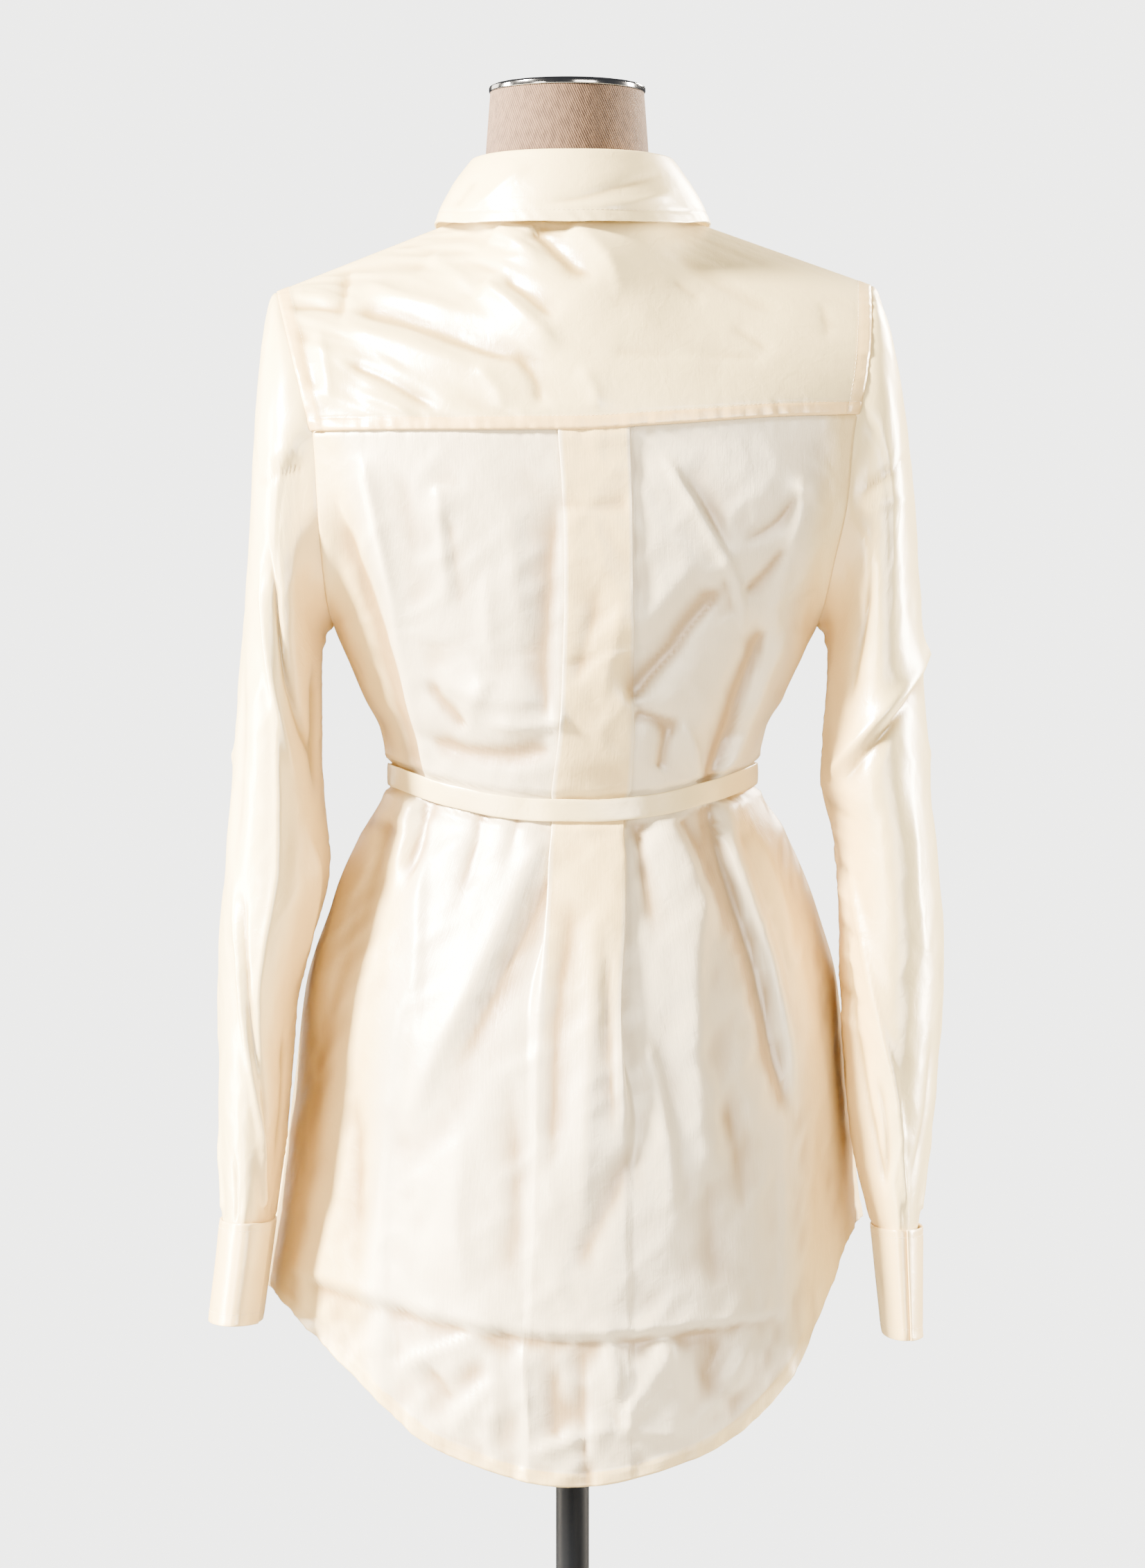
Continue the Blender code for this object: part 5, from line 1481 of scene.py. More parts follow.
BOTH_CREASES = """
outside:
-3.6 12 12 | -52 1215, -30 1150, -34 1080
1.8 14 12 | -20 1190, -4 1120, -10 1060
3.8 6 10 0.2 0.5 | -84 1070, -48 1048, -6 1052, 26 1066
-4.4 7 9 0.2 0.5 | -90 1046, -50 1020, -12 1014, 18 1022
3.4 6 9 0.2 0.5 | -84 1016, -52 990, -20 982
-3.6 8 12 | -64 980, -30 940, -14 880
2 12 12 | -14 1000, -2 920, -12 830
2.8 8 10 0.3 0.1 | -44 900, -34 830, -40 766
-2.6 6 8 0.4 0.05 | -16 830, -14 790, -20 756
2.2 5 7 0.4 0.05 | 24 820, 18 786, 22 754
in front:
-4.6 8 8 | -60 1230, -90 1180, -130 1130
3.6 12 10 | -40 1170, -70 1090, -64 1000
3.9 5 6 | -150 1060, -100 1030, -60 1020
-3.6 5 6 | -160 1030, -110 1000, -74 1004
2.8 5 6 | -140 990, -96 970, -50 978
3.6 8 6 0.2 0.1 | -60 960, -84 880, -110 790
-3.2 8 8 | -120 930, -116 860, -124 790
-3.1 4 4 0.5 0.02 | -76 800, -80 752
-2.5 4 4 0.5 0.02 | -130 796, -132 752
"""


@dataclass(frozen=True)
class Arm:
    """Sizes that differ between the two sleeves, in metres and degrees."""

    end: float  # height where the sleeve meets its cuff
    hollow: float  # how far the sleeve head sinks in on the outside
    slit: float  # where round the cuff its slit is
    cuff_low: tuple  # lower edge of the cuff: height, then the columns after z in sections
    creases: str
    sections: Table


SECTION = ("x", "half_width", "y", "half_depth")
LEFT_SECTIONS = Table("""
z x half_width y half_depth
1.100 0.1930 0.0270 0.006 0.072
1.040 0.1950 0.0295 0.012 0.070
0.980 0.1945 0.0343 0.018 0.067
0.930 0.2015 0.0301 0.024 0.065
0.890 0.2065 0.0257 0.028 0.063
0.818 0.2093 0.0229 0.034 0.058
0.770 0.2110 0.0190 0.040 0.051
0.7495 0.2125 0.0172 0.042 0.047
""")
RIGHT_SECTIONS = Table("""
z x half_width y half_depth
1.100 0.2000 0.0315 0.006 0.072
1.040 0.2000 0.0360 0.012 0.070
0.990 0.2070 0.0336 0.018 0.067
0.925 0.2095 0.0338 0.025 0.064
0.833 0.2095 0.0298 0.033 0.060
0.791 0.2090 0.0242 0.038 0.055
0.7455 0.2115 0.0150 0.044 0.049
""")
ARMS = {
    Side.LEFT: Arm(
        end=0.7495,
        hollow=0.0085,
        slit=128,
        cuff_low=(0.6830, 0.2205, 0.0165, 0.046, 0.047),
        creases=LEFT_CREASES,
        sections=LEFT_SECTIONS,
    ),
    Side.RIGHT: Arm(
        end=0.7455,
        hollow=0.0,
        slit=60,
        cuff_low=(0.6740, 0.2150, 0.0110, 0.047, 0.050),
        creases=RIGHT_CREASES,
        sections=RIGHT_SECTIONS,
    ),
}


@dataclass
class Sleeve:
    """One long sleeve with its slit cuff."""

    form: BlouseForm
    wardrobe: Wardrobe
    side: Side
    top_ring: float = 1.100
    around: int = 132
    cap_rows: int = 84
    arm_rows: int = 130
    lap_degrees: float = 16
    cuff_stitch: float = 7.4  # mm from the cuff's lower edge
    cuff_top_stitch: float = 5.0

    def __post_init__(self) -> None:
        """Takes the sizes of its side."""
        self.arm = ARMS[self.side]
        self.word = self.side.name.lower()

    def creases(self) -> list:
        """The folds of the sleeve, with the small tucks beside the body on the right one."""
        tucks = []
        if self.side == Side.RIGHT:
            for i, z in enumerate((1040, 1024, 1006, 984, 966, 944, 926, 902, 884)):
                line = ((178, z), (154, z - 6), (124 - 8 * (i % 2), z - 16))
                tucks.append(Crease(line, (1.7, -1.6)[i % 2], 5, 5, 0.1, 0.6))
        return laid(self.arm.creases) + tucks + laid(BOTH_CREASES)

    def oval(self, sizes: list, z: Array, turn: Array) -> Array:
        """Points of ovals at heights z; sizes are the centre and half-size across, then deep."""
        x, half_width, y, half_depth = sizes
        x, y = x + half_width * np.cos(turn), y + half_depth * np.sin(turn)
        return np.stack([self.side * x, y, z * np.ones_like(x)], axis=-1)

    def ring(self, z: Array, turn: Array) -> Array:
        """Points of the sleeve's section at heights z."""
        return self.oval([self.arm.sections.at(name, z) for name in SECTION], z, turn)

    def surface(self) -> Array:
        """Points of the sleeve: from under the body's edge over the sleeve head, and down."""
        side, around = int(self.side), self.around
        turn = np.linspace(0, 2 * math.pi, around, endpoint=False)
        seam = self.form.armhole(self.side, around)
        radial = unit((seam - seam.mean(axis=0)) * np.array([0.0, 1.0, 1.0]))
        fall = -0.35 + 0.40 * np.cos(turn)
        leave = unit(np.stack([side * np.ones(around), 0.15 * np.sin(turn), fall], axis=-1))
        ring = self.ring(np.full(around, self.top_ring), turn)
        reach = (0.0115 + 0.0035 * np.cos(turn) + 0.0185 * np.abs(np.sin(turn)))[:, None]
        rise = np.linalg.norm(seam - ring, axis=1)[:, None] * np.array([0.0, 0.0, 0.40])
        rise[:, 0] -= side * self.arm.hollow * (1 + np.cos(turn)) / 2
        start = seam - radial * 0.7 * MM
        t = np.linspace(0, 1, self.cap_rows, endpoint=False)[:, None] * np.ones(around)
        cap = bezier(start, start + leave * reach, ring + rise, ring, t)
        inward = np.array([side * 0.5, 0, 0])
        inside = np.stack([start - inward * k * MM - radial * 0.3 * k * MM for k in (6, 3, 1.2)])
        heights = np.linspace(self.top_ring, self.arm.end - 5 * MM, self.arm_rows)
        return np.concatenate([inside, cap, self.ring(heights[:, None] * np.ones(around), turn)])

    def sleeve(self) -> Piece:
        """Builds the sleeve with its folds, its head and the tucks at the cuff."""
        points = self.surface()
        grid = ClothGrid.facing(points, points.mean(axis=1, keepdims=True), wrap=True)
        turn = np.degrees(np.linspace(0, 2 * math.pi, self.around, endpoint=False))
        turn = turn * np.ones(points.shape[:2])
        degrees = (turn + 180) % 360 - 180
        beside = 180 - np.abs(degrees)  # degrees away from the seam under the arm
        up, end = points[..., 2] / MM, self.arm.end / MM
        down = grid.edges()[2]
        ripple = packed_wrinkles(turn * 8 / 9, up, 150 + self.side, 0.3)
        height = crease_height(self.creases(), degrees, up) + ripple
        height = height * ease((down - 4) / 16) * (0.35 + 0.65 * ease(beside / 14))
        head = 0.6 * uneven(turn / 7.5, up / 26, 161) * ease((down - 3) / 4)
        height += head * np.exp(-((down / 26) ** 2))
        height += 1.1 * uneven(turn / 11.25, up / 60, 171) * np.exp(-(((up - end) / 26) ** 2))
        height += puckers(up, beside, 181, 0.7, 7) - 0.6 * np.exp(-((beside / 2) ** 2))
        # painted golden shade on the side of the sleeve that faces the body, from 75 degrees round
        grid.tone = 0.9 * ease((np.abs(degrees) - 75) / 60)
        under_cuff = ease((end + 3 - up) / 6)
        raised = grid.raised(height * (1 - under_cuff) - 0.9 * under_cuff)
        piece = raised.built(f"sleeve_{self.word}_cloth", self.wardrobe.satin, 0.5 * MM)
        dress(piece, (f"sleeve_{self.word}",))
        return piece

    def cuff(self) -> Piece:
        """Builds the cuff: a stiffened band that laps over itself at its slit."""
        low_z, *low = self.arm.cuff_low
        slit, top_z = math.radians(self.arm.slit), self.arm.end
        turn = slit + np.linspace(0, 2 * math.pi + math.radians(self.lap_degrees), 150)
        lift = 2.7 * MM * ease((turn - slit - math.radians(280)) / math.radians(60))
        t = np.linspace(0, 1, 34)[:, None]
        z = (top_z - 0.3 * MM) * (1 - t) + low_z * t
        top = [float(self.arm.sections.at(name, top_z)) for name in SECTION]
        x, wide, y, deep = (a * (1 - t) + b * t for a, b in zip(top, low))
        sizes = [x, wide + 0.6 * MM + lift, y, deep + 0.6 * MM + lift]
        points = self.oval(sizes, z, turn)
        grid = ClothGrid.facing(points, points.mean(axis=1, keepdims=True))
        run, far, down, below = grid.edges()
        ends = np.minimum(down, below)
        height = puckers(run, ends, 191, 0.25, 8) + 0.5 * uneven(run / 26, down / 30, 197)
        height = height * ease(np.minimum(np.minimum(run, far), ends) / 5)
        height = height + groove(below, self.cuff_stitch, 0.3, 0.8)
        height = height + groove(down, self.cuff_top_stitch, 0.3, 0.8)
        grid.tone = np.full(height.shape, 0.6)
        raised = grid.raised(height)
        piece = raised.built(f"cuff_{self.word}_cloth", self.wardrobe.satin, 1.4 * MM)
        dress(piece, (f"cuff_{self.word}",))
        rounded_edges(piece, 0.4 * MM)
        levels = (self.cuff_stitch, float(below[0].min()) - self.cuff_top_stitch)
        lines = [raised.traced(below, level) for level in levels]
        name = f"cuff_{self.word}_stitches"
        sewn = Stitch(lift=EDGE_STITCH_LIFT).sewn(name, lines, self.wardrobe.thread)
        return piece

    def build(self) -> list:
        """Builds the sleeve and its cuff."""
        return [self.sleeve(), self.cuff()]


# ---- collar ----

COLLAR_LEVELS = Table("""
turn stand_z crest_z edge_z edge_out
0 1.4415 1.4470 1.3985 0.0220
50 1.4425 1.4475 1.4010 0.0240
85 1.4420 1.4475 1.4060 0.0270
110 1.4370 1.4420 1.4040 0.0290
140 1.4200 1.4250 1.3800 0.0300
160 1.4080 1.4125 1.3560 0.0290
172 1.4020 1.4065 1.3480 0.0260
""")
COLLAR_CREASES = """
-1.8 6 9 | -66 1436, -30 1422, 4 1412, 34 1408
1.5 5 8 | -72 1424, -40 1412, -8 1406
1.6 7 5 | 26 1438, 48 1422, 66 1406
-1.6 5 6 | 60 1434, 72 1420, 80 1408
"""


@dataclass
class Collar:
    """Shirt collar: a stand round the neck and the leaf that folds over it."""

    form: BlouseForm
    wardrobe: Wardrobe
    end: float = math.radians(172)
    spread: float = 0.020
    stitch: float = 7.6  # mm from the leaf's edge
    around: int = 190

    def stand_line(self, turn: Array) -> tuple:
        """Foot and top of the stand at each turn round the neck."""
        foot = self.form.neckline(turn)
        foot[:, :2] -= np.stack([np.sin(turn), np.cos(turn)], axis=-1) * 2.0 * MM
        foot[:, 2] += 0.5 * MM + 1.2 * MM * ease((np.abs(turn) - 1.8) / 0.9)
        top = foot.copy()
        top[:, 2] = COLLAR_LEVELS.at("stand_z", np.abs(np.degrees(turn)))
        return foot, top

    def stand(self) -> Piece:
        """Builds the stand."""
        foot, top = self.stand_line(np.linspace(-self.end, self.end, self.around))
        t = np.linspace(1, 0, 16)[:, None, None]
        grid = ClothGrid.facing(foot * (1 - t) + top * t, (0.0, 0.0, 1.42))
        run, _, _, below = grid.edges()
        raised = grid.raised(puckers(run, below, 201, 0.2, 6))
        piece = raised.built("collar_stand_cloth", self.wardrobe.satin, 1.5 * MM)
        dress(piece, ("collar_stand",))
        return piece

    def leaf_surface(self) -> Array:
        """Points of the leaf: up over the stand, round the fold and out to its edge."""
        turn = np.linspace(-self.end, self.end, self.around)
        degrees = np.abs(np.degrees(turn))
        out = np.stack([np.sin(turn), np.cos(turn), 0 * turn], axis=-1)
        _, stand = self.stand_line(turn)
        crest_z = COLLAR_LEVELS.at("crest_z", degrees)
        start = stand + np.array([0.0, 0.0, 1.1 * MM])
        crest = stand + out * 2.0 * MM
        crest[:, 2] = crest_z
        over = stand + out * 4.8 * MM
        over[:, 2] = crest_z - 2.2 * MM
        edge = stand + out * COLLAR_LEVELS.at("edge_out", degrees)[:, None]
        edge[:, 2] = COLLAR_LEVELS.at("edge_z", degrees)
        edge[:, 0] += np.sign(turn) * self.spread * ease((degrees - 130) / 42)
        rows = [start, crest, over]
        for t in (0.35, 0.68, 1.0):
            rows.append(over * (1 - t) + edge * t + out * 2.5 * MM * math.sin(math.pi * t))
        return spline(np.stack(rows), np.linspace(0, 1, 64))

    def leaf(self) -> Piece:
        """Builds the leaf with its stitched edge."""
        points = self.leaf_surface()
        grid = ClothGrid.facing(points, (0.0, 0.0, 1.42))
        run, far, down, below = grid.edges()
        height = 0.45 * uneven(run / 40, below / 30, 217) * ease(below / 8)
        height = puckers(run, below, 211, 0.4, 9) + height
        folds = crease_height(laid(COLLAR_CREASES), points[..., 0] / MM, points[..., 2] / MM)
        height += folds * (points[..., 1] > 0) * ease((below - 6) / 10)
        height = height * ease((down - 8) / 8) * ease(np.minimum(run, far) / 6)
        raised = grid.raised(height + groove(below, self.stitch, 0.35, 0.9))
        piece = raised.built("collar_leaf_cloth", self.wardrobe.satin, 1.4 * MM)
        dress(piece, ("collar_leaf",))
        rounded_edges(piece, 0.4 * MM)
        lines = [raised.traced(below, self.stitch)]
        sewn = Stitch(lift=EDGE_STITCH_LIFT).sewn("collar_stitches", lines, self.wardrobe.thread)
        return piece

    def build(self) -> list:
        """Builds the stand and the leaf."""
        return [self.stand(), self.leaf()]


# ---- tie belt ----


@dataclass
class TieBelt:
    """Narrow tie belt: the band round the waist, its knot on the left front and two ends."""

    form: BlouseForm
    wardrobe: Wardrobe
    depth: float = 14.5 * MM
    thickness: float = 1.5 * MM
    clearance: float = 2.1 * MM
    over_pleat: float = 1.4 * MM  # how much further out it runs there
    over_placket: float = 4.6 * MM
    knot_share: float = 0.36
    knot_height: float = 24 * MM
    tail_length: float = 0.27
    tail_lift: float = 4.5 * MM

    def section(self, count: int = 28) -> tuple:
        """Outline of the folded belt: (up, out) of a flat oval with pressed edges."""
        turn = np.linspace(0, 2 * math.pi, count, endpoint=False)
        up = np.sign(np.cos(turn)) * np.abs(np.cos(turn)) ** 0.45 * self.depth / 2
        out = np.sign(np.sin(turn)) * np.abs(np.sin(turn)) ** 0.6 * self.thickness / 2
        return up, out

    def line(self, level: float) -> tuple:
        """Points and outward directions round the waist, at a level over the belt's middle."""
        made = []
        for face, share in (
            (Face.BACK, np.linspace(1, -1, 230, endpoint=False)),
            (Face.FRONT, np.linspace(-1, 1, 170, endpoint=False)),
        ):
            points, out = self.form.trunk(face, share, self.form.belt_height(face, share) + level)
            if face == Face.BACK:
                over = self.over_pleat * ease((0.045 - np.abs(points[:, 0] + 0.0115)) / 0.020)
            else:
                over = self.over_placket * ease((0.034 - np.abs(points[:, 0])) / 0.016)
            made.append((points + out * (self.clearance + over)[:, None], out))
        (back, back_out), (front, front_out) = made
        return np.concatenate([back, front]), np.concatenate([back_out, front_out])

    def band(self) -> Piece:
        """Builds the band, carried out over the pleat behind and the placket in front."""
        levels = [self.line(level) for level in np.linspace(-0.5, 0.5, 5) * self.depth]
        lines, outs = (np.stack(made) for made in zip(*levels))
        up, out = self.section()
        place = up / self.depth + 0.5
        along = np.arange(lines.shape[1])
        sag = 0.35 * MM * uneven(along / 9.0, up[:, None] / MM / 9 + 4, 231)
        points = spline(lines, place) + unit(spline(outs, place)) * (out[:, None] + sag)[..., None]
        points[..., 2] += 0.5 * MM * uneven(along / 14.0, np.zeros(len(along)), 237)
        grid = ClothGrid.facing(np.swapaxes(points, 0, 1), (0.0, 0.0, 1.03), wrap=True)
        closed = [np.concatenate([values, values[:1]]) for values in (grid.points, grid.outward)]
        piece = ClothGrid(*closed, wrap=True).built("belt_cloth", self.wardrobe.satin)
        weld(piece)
        dress(piece, ("belt_band",))
        return piece

    def frame_at_knot(self) -> tuple:
        """Middle of the belt at the knot, and the directions out of the cloth and along it."""
        share = np.full(1, self.knot_share)
        height = self.form.belt_height(Face.FRONT, share)
        (centre,), (out,) = self.form.trunk(Face.FRONT, share, height)
        return centre + out * self.clearance, out, np.array([-out[1], out[0], 0.0])

    def knot(self) -> Piece:
        """Builds the knot: the belt wrapped round itself, bulging in front and pinched above.

        A point is the belt's middle plus out * cos(turn) and up * sin(turn) of a flattened loop,
        plus a width along the belt that swells in front; three soft pleats run round the loop.
        """
        centre, out, along = self.frame_at_knot()
        turn = np.linspace(0, 2 * math.pi, 96, endpoint=False)[:, None]
        w = np.linspace(-1, 1, 40)
        ahead = np.clip(np.cos(turn), 0, 1)
        wide = (6.5 + 6.5 * ahead**0.7) * MM
        pleats = 1 + 0.10 * np.cos(3 * math.pi * w + 0.8 * np.sin(turn)) * ahead
        bulge = (1 - 0.30 * w**2) * pleats
        reach_out = np.where(np.cos(turn) > 0, 11.5 * MM * bulge, 1.6 * MM)
        up = self.knot_height / 2 * 0.92 * (1 - 0.12 * w**2)
        skew = 2.2 * MM * np.sin(turn)
        points = (
            centre
            + (reach_out * np.cos(turn))[..., None] * out
            + (up * np.sin(turn))[..., None] * np.array([0.0, 0.0, 1.0])
            + (w * wide + skew)[..., None] * along
        )
        grid = ClothGrid.facing(np.concatenate([points, points[:1]]), centre)
        piece = grid.built("belt_knot_cloth", self.wardrobe.satin)
        weld(piece)
        piece.modifiers.new("wall", "SOLIDIFY").thickness = 0.8 * MM
        dress(piece, ("belt_knot",))
        return piece

    def tail(self, name: str, top_share: float, low_share: float, top_lift: float) -> Piece:
        """Builds one hanging end of the belt, lying on the left front.

        Args:
            name: name of its CAD node.
            top_share: where it leaves the knot.
            low_share: where it ends.
            top_lift: how far its top stands off the cloth.

        Returns:
            The new object.
        """
        t = np.linspace(0, 1, 150)[:, None]
        middle = top_share + (low_share - top_share) * ease(t * 1.2)
        belt = self.form.belt_height(Face.FRONT, np.full(1, self.knot_share))[0]
        z = belt - self.knot_height / 2 + 1.0 * MM - self.tail_length * t
        centre, out = self.form.trunk(Face.FRONT, middle, z)
        lift = self.tail_lift + (top_lift - self.tail_lift) * ease(1 - 1.8 * t)
        lift = lift + 0.6 * MM * uneven(t * 9, t * 0, len(name)) * ease(t * 8)
        across = np.stack([out[..., 1], -out[..., 0], 0 * z], axis=-1)
        up, thick = self.section()
        closing = np.minimum(1.0, np.minimum(t, 1 - t) * 300)
        twist = 0.16 * np.sin(t * 7 + len(name))
        side = up * (1 - 0.25 * ease(1 - 9 * t))
        turned_out = out * (side * np.sin(twist) * 0.3)[..., None]
        offset = across * (side * np.cos(twist))[..., None] + turned_out
        points = centre + out * (lift + thick * closing)[..., None] + offset
        grid = ClothGrid.facing(points, points.mean(axis=1, keepdims=True), wrap=True)
        piece = grid.built(f"{name}_cloth", self.wardrobe.satin)
        weld(piece)
        dress(piece, (name,))
        return piece

    def build(self) -> list:
        """Builds the band, the knot and both ends."""
        return [
            self.band(),
            self.knot(),
            self.tail("belt_tail_right", 0.335, 0.235, 8.0 * MM),
            self.tail("belt_tail_left", 0.385, 0.420, 4.5 * MM),
        ]


# ---- turned pieces ----


def weld(piece: Piece, sharp: float | None = None) -> None:
    """Merges the points that close a piece, turns its faces outwards and marks sharp edges."""
    shape = bmesh.new()
    shape.from_mesh(piece.data)
    bmesh.ops.remove_doubles(shape, verts=shape.verts, dist=1e-6)
    bmesh.ops.recalc_face_normals(shape, faces=shape.faces)
    shape.to_mesh(piece.data)
    shape.free()
    piece.data.shade_smooth()
    if sharp:
        piece.data.set_sharp_from_angle(angle=math.radians(sharp))


def turned(
    name: str, profile: list, finish: Finish, centre: tuple = (0.0, 0.0), around: int = 96
) -> Piece:
    """A piece turned about an upright axis.

    Args:
        name: name of the piece.
        profile: (radius, height) down its outer side, from the axis to the axis.
        finish: its material.
        centre: where its axis stands.
        around: number of points round the axis.

    Returns:
        The new object.
    """
    radius, height = np.array(profile, dtype=float).T[..., None]
    turn = np.linspace(0, 2 * math.pi, around, endpoint=False)
    x, y = centre[0] + radius * np.cos(turn), centre[1] + radius * np.sin(turn)
    points = np.stack([x, y, height * np.ones(around)], axis=-1)
    piece = ClothGrid(points, None, wrap=True).built(name, finish)
    weld(piece, sharp=40)
    return piece


def rounded(corners: list, radius: float, steps: int = 4) -> list:
    """A profile with each inner corner of a chain of points rounded off by a short arc."""
    points = np.array(corners, dtype=float)
    made = [tuple(points[0])]
    for before, corner, after in zip(points[:-2], points[1:-1], points[2:]):
        back, on = before - corner, after - corner
        size = min(radius, 0.45 * np.hypot(*back), 0.45 * np.hypot(*on))
        start = corner + back / np.hypot(*back) * size
        end = corner + on / np.hypot(*on) * size
        for t in np.linspace(0, 1, steps + 1):
            made.append(tuple(start * (1 - t) ** 2 + 2 * corner * t * (1 - t) + end * t**2))
    made.append(tuple(points[-1]))
    return made


@dataclass
class ButtonRow:
    """Four-hole buttons down the placket, each sewn with a cross of thread."""

    wardrobe: Wardrobe
    count: int = 7
    hole_ring: float = 1.55 * MM
    hole_radius: float = 0.75 * MM
    around: int = 72

    def frame(self, number: int) -> tuple:
        """Where a button's CAD node is: its centre, axes, radius and half its thickness."""
        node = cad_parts[f"button_{number}"]
        corners = np.zeros(len(node.data.vertices) * 3)
        node.data.vertices.foreach_get("co", corners)
        corners = corners.reshape(-1, 3)
        centre = corners.mean(axis=0)
        _, _, axes = np.linalg.svd(corners - centre, full_matrices=False)
        out = axes[2] * (1 if axes[2][1] < 0 else -1)
        side = unit(np.cross(np.array([0.0, 0.0, 1.0]), out))
        size, half = (np.abs((corners - centre) @ axis).max() for axis in (side, out))
        return centre, side, np.cross(out, side), out, size, half

    def face(self, r: Array, turn: Array, size: float, half: float) -> Array:
        """Height of a button's face: a rolled rim, a shallow dish inside it and four holes."""
        swell = np.sqrt(np.clip(1 - ((r / size - 0.86) / 0.145) ** 2, 0, 1))
        height = half * (0.45 + 0.5 * (ease((r / size - 0.66) / 0.12) * swell))
        for angle in math.pi / 4 + np.arange(4) * math.pi / 2:
            x = r * np.cos(turn) - self.hole_ring * math.cos(angle)
            y = r * np.sin(turn) - self.hole_ring * math.sin(angle)
            inside = ease((self.hole_radius * 1.15 - np.hypot(x, y)) / (self.hole_radius * 0.5))
            height = height - (height + 0.6 * half) * inside
        return height

    def button(self, number: int) -> Piece:
        """Builds one button where its CAD node is, as a height over polar rings."""
        centre, side, up, out, size, half = self.frame(number)
        turn = np.linspace(0, 2 * math.pi, self.around, endpoint=False)
        rings = np.concatenate([np.linspace(0, 0.74, 26), np.linspace(0.77, 1.0, 10)]) * size
        r = rings[:, None] * np.ones(self.around)
        behind = np.array([1.0, 0.97, 0.94, 0.9, 0.0])[:, None] * size * np.ones(self.around)
        back = 0.25 * half * ease((behind / size - 0.9) / 0.1) - half
        radii = np.concatenate([r, behind])
        points = (
            centre
            + (radii * np.cos(turn))[..., None] * side
            + (radii * np.sin(turn))[..., None] * up
            + np.concatenate([self.face(r, turn, size, half), back])[..., None] * out
        )
        grid = ClothGrid(points, None, wrap=True)
        piece = grid.built(f"button_{number}_pearl", self.wardrobe.pearl)
        weld(piece)
        dress(piece, (f"button_{number}",))
        lines = []
        for sign in (1, -1):
            ends = np.array([-1.0, 1.0])[:, None] * self.hole_ring * (side + sign * up)
            line = centre + ends / math.sqrt(2) + out * half * (0.35 + 0.12 * sign)
            lines.append((line, np.stack([out, out])))
        stitch = Stitch(2.9 * MM, 0.05 * MM, 0.24 * MM, 0.1 * MM)
        return stitch.sewn(f"button_{number}_thread", lines, self.wardrobe.thread)

    def build(self) -> list:
        """Builds every button."""
        return [self.button(number) for number in range(1, self.count + 1)]


# ---- dress form and stand ----

FORM = Table("""
z half_width front back
0.765 0.158 0.098 0.100
0.830 0.168 0.108 0.114
0.900 0.158 0.104 0.108
0.970 0.130 0.094 0.088
1.030 0.108 0.083 0.074
1.090 0.120 0.095 0.083
1.150 0.134 0.120 0.096
1.190 0.143 0.132 0.101
1.250 0.146 0.114 0.100
1.310 0.153 0.080 0.089
1.342 0.146 0.058 0.070
1.362 0.126 0.050 0.060
1.378 0.094 0.049 0.055
1.392 0.067 0.049 0.053
1.412 0.0560 0.050 0.053
1.445 0.0545 0.0515 0.0535
1.492 0.0512 0.0512 0.0512
""")


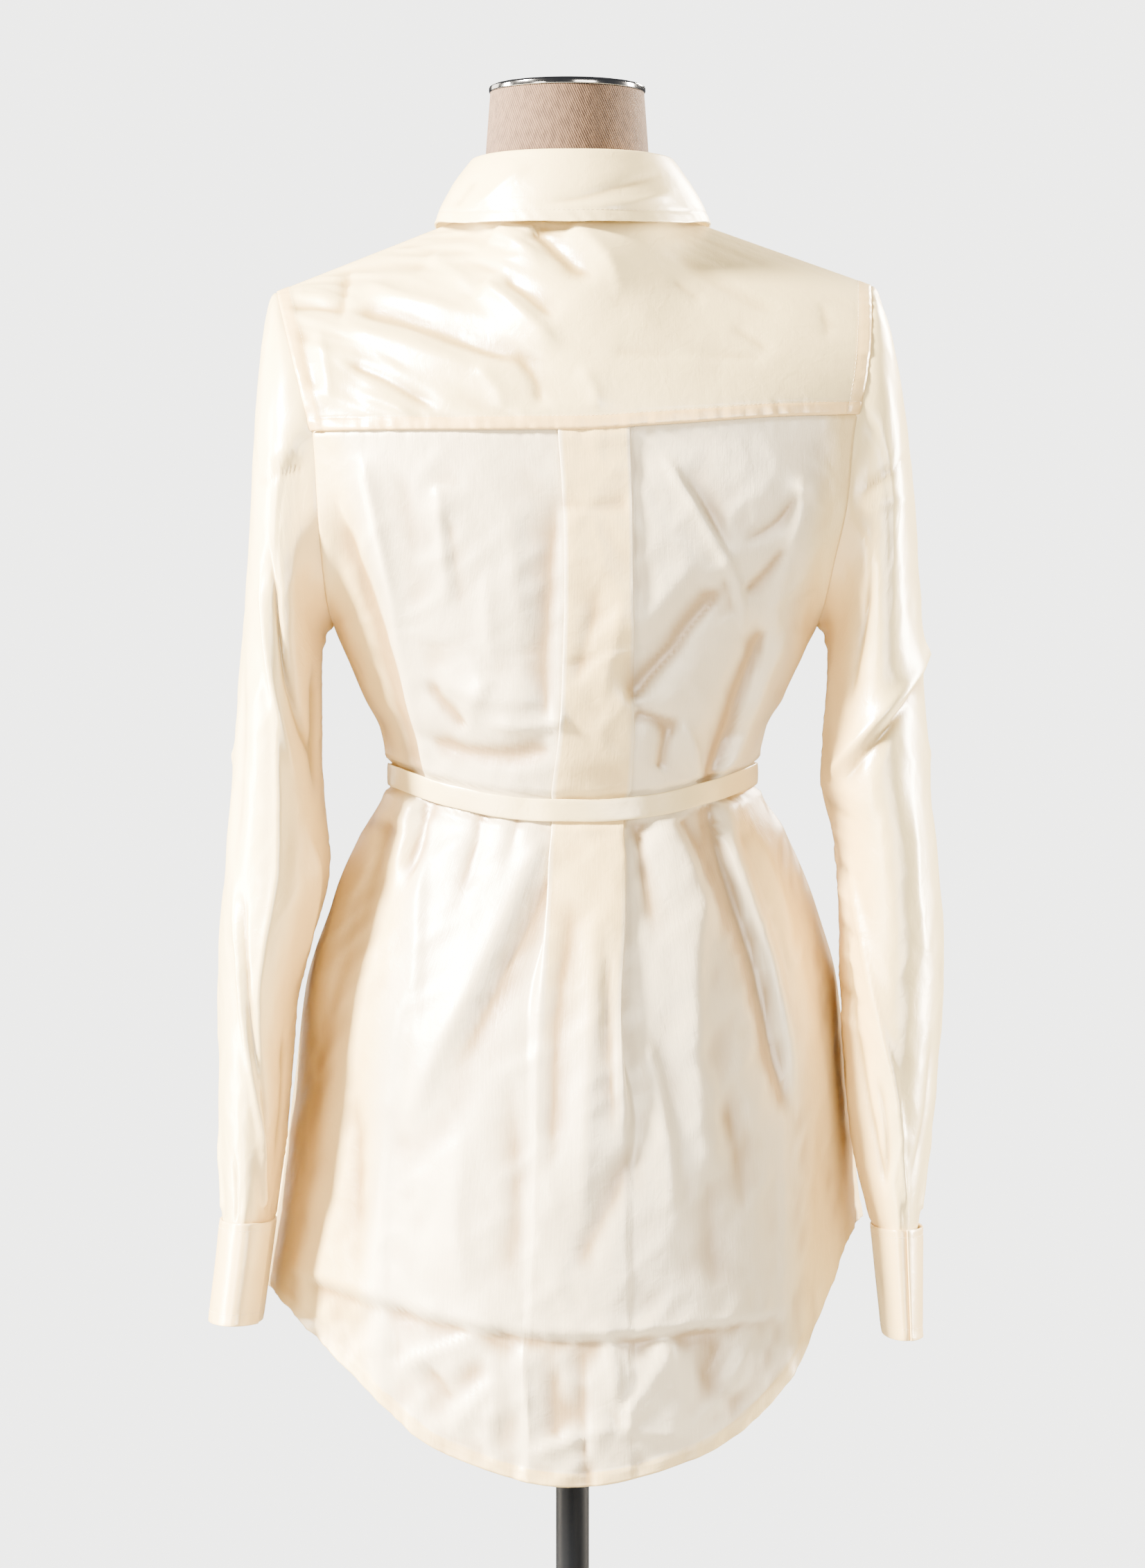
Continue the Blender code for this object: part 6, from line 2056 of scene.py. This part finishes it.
@dataclass
class DressForm:
    """Limbless linen-covered form with a chrome neck cap, on a pole and a round base."""

    wardrobe: Wardrobe
    around: int = 120
    neck_lean: float = 3.5 * MM
    neck_top: float = 1.4920
    shoulder_top: float = 1.36  # height above which the rings lie closer
    bottom: float = 0.765
    cap_radius: float = 0.0520
    cap_thickness: float = 4.5 * MM
    pole_radius: float = 0.011
    base_radius: float = 0.170
    base_thickness: float = 0.012
    hub_radius: float = 0.026
    hub_top: float = 0.055
    gap: float = 0.3 * MM

    def torso(self) -> Piece:
        """Builds the torso: an oval of its own depth in front and behind at each height."""
        neck = np.linspace(self.neck_top, self.shoulder_top, 50, endpoint=False)
        z = np.concatenate([neck, np.linspace(self.shoulder_top, self.bottom, 110)])[:, None]
        turn = np.linspace(0, 2 * math.pi, self.around, endpoint=False)
        deep = np.where(np.sin(turn) >= 0, FORM.at("back", z), FORM.at("front", z))
        centre = self.neck_lean * ease((z - 1.25) / 0.16)
        x = centre + FORM.at("half_width", z) * np.cos(turn)
        points = np.stack([x, deep * np.sin(turn), z * np.ones_like(x)], axis=-1)
        top, low = (
            ring.mean(axis=1, keepdims=True) * np.ones((1, self.around, 1))
            for ring in (points[:1], points[-1:])
        )
        grid = ClothGrid(np.concatenate([top, points, low]), None, wrap=True)
        piece = grid.built("dress_form_linen", self.wardrobe.linen)
        weld(piece, sharp=50)
        return dress(piece, ("form_torso",))

    def metalwork(self) -> list:
        """Builds the neck cap, the pole and the base."""
        low = self.neck_top + self.gap
        top, edge = low + self.cap_thickness, self.cap_radius
        cap = [
            (0.0, top + 2.0 * MM),
            (0.020, top + 1.6 * MM),
            (edge - 3 * MM, top + 0.4 * MM),
            (edge, top - 0.8 * MM),
            (edge, low),
            (0.0, low),
        ]
        rim, plate = self.base_radius, self.base_thickness
        base = [
            (0.0, self.hub_top),
            (self.pole_radius + 7 * MM, self.hub_top),
            (self.hub_radius, plate + 5 * MM),
            (self.hub_radius + 8 * MM, plate),
            (rim - 2 * MM, plate - 3 * MM),
            (rim, plate - 8 * MM),
            (rim, 0.0),
            (0.0, 0.0),
        ]
        foot, end = self.hub_top + self.gap, self.bottom - self.gap
        side = self.pole_radius
        pole = [(0.0, end), (side, end), (side, foot), (0.0, foot)]
        chrome, steel = self.wardrobe.chrome, self.wardrobe.steel
        lean = (self.neck_lean, 0.0)
        cap = turned("neck_cap_chrome", rounded(cap, 1.1 * MM), chrome, lean)
        dress(cap, ("neck_cap",))
        base = turned("stand_base_steel", rounded(base, 2.5 * MM), steel, around=160)
        dress(base, ("stand_base",))
        pole = turned("stand_pole_steel", rounded(pole, 0.8 * MM), steel, around=64)
        dress(pole, ("stand_pole",))
        return [cap, base, pole]

    def build(self) -> list:
        """Builds the form and its stand."""
        return [self.torso(), *self.metalwork()]


# ---- studio ----

# Soft boxes: where each stands, the point that it faces, its width and height, and its watts.
SOFT_BOXES = {
    "left_key": ((2.8, 1.15, 2.75), (0.0, 0.0, 1.05), (0.5, 0.8), 2100),
    "right_side": ((-2.9, -0.9, 1.6), (-0.2, 0.0, 1.05), (0.6, 1.8), 760),
    "left_side": ((3.0, -0.5, 1.3), (0.2, 0.0, 1.0), (0.5, 1.8), 600),
    "left_fill": ((2.3, 2.6, 0.9), (0.15, 0.0, 0.9), (1.0, 1.2), 125),
    "camera_fill": ((-1.7, 3.4, 1.3), (0.0, 0.0, 1.0), (2.0, 1.4), 230),
    "front_key": ((-1.9, -2.7, 2.6), (0.0, 0.0, 1.05), (0.8, 1.0), 290),
    "front_fill": ((2.3, -2.2, 1.8), (0.0, 0.0, 1.0), (1.4, 1.6), 60),
}


@dataclass
class Studio:
    """Pale floor, pale surround, soft lights on both sides, and the photograph's camera."""

    wardrobe: Wardrobe
    camera_distance: float = 3.5
    camera_height: float = 1.0336
    view_height: float = 1.0413  # height of the picture at the form's axis
    floor_radius: float = 3.2
    floor_depth: float = 0.02
    surround: str = "#EBEBE8"
    surround_strength: float = 5.1
    ambient: str = "#F4F5F8"
    ambient_strength: float = 0.14
    warm_light: str = "#FFF2DE"

    def camera(self) -> None:
        """Sets the camera level behind the form, with its depth of field off."""
        lens = bpy.data.cameras.new("camera")
        lens.sensor_width = 36.0
        lens.lens = lens.sensor_width * self.camera_distance / self.view_height
        camera = bpy.data.objects.new("camera", lens)
        camera.location = (0.0, self.camera_distance, self.camera_height)
        camera.rotation_euler = (math.pi / 2, 0.0, math.pi)
        bpy.context.scene.collection.objects.link(camera)
        bpy.context.scene.camera = camera

    def light(self, name: str, place: tuple, aim: tuple, size: tuple, power: float) -> None:
        """Adds one soft box, as its row in SOFT_BOXES says."""
        lamp = bpy.data.lights.new(name, "AREA")
        lamp.shape = "RECTANGLE"
        lamp.size, lamp.size_y = size
        lamp.energy = power
        lamp.color = linear(self.warm_light)[:3]
        box = bpy.data.objects.new(name, lamp)
        box.location = place
        away = np.array(place) - np.array(aim)
        level = math.hypot(away[0], away[1])
        box.rotation_euler = (math.atan2(level, away[2]), 0.0, math.atan2(away[0], -away[1]))
        bpy.context.scene.collection.objects.link(box)

    def surroundings(self) -> None:
        """Makes the floor and the pale surround, seen brighter than it lights."""
        rim, low = self.floor_radius, -self.floor_depth
        disc = [(0.0, 0.0), (rim, 0.0), (rim, low), (0.0, low)]
        turned("studio_floor_disc", disc, self.wardrobe.floor)
        world = bpy.data.worlds.new("studio")
        world.use_nodes = True
        tree = world.node_tree
        shown = tree.nodes["Background"]
        colour = linear(self.surround)
        feed(tree, shown, {"Color": colour, "Strength": self.surround_strength})
        lit = {"Color": linear(self.ambient), "Strength": self.ambient_strength}
        lit = add_node(tree, "Background", lit)
        ray = add_node(tree, "LightPath", {}, "Is Camera Ray")
        both = add_node(tree, "MixShader", {0: ray, 1: lit, 2: shown.outputs[0]})
        feed(tree, tree.nodes["World Output"], {"Surface": both})
        bpy.context.scene.world = world

    def build(self) -> None:
        """Builds the camera, the lights, the floor and the surround."""
        self.camera()
        for name, sizes in SOFT_BOXES.items():
            self.light(name, *sizes)
        self.surroundings()


def main() -> None:
    """Builds the studio, the form and the blouse, piece by piece."""
    logging.basicConfig(level=logging.INFO, format="%(name)s: %(message)s")
    wardrobe = Wardrobe()
    form = BlouseForm()
    Studio(wardrobe).build()
    DressForm(wardrobe).build()
    BackPanel(form, wardrobe).build()
    BackYoke(form, wardrobe).build()
    Fronts(form, wardrobe).build()
    for side in Side:
        Sleeve(form, wardrobe, side).build()
    Collar(form, wardrobe).build()
    TieBelt(form, wardrobe).build()
    ButtonRow(wardrobe).build()


if __name__ == "__main__":
    main()
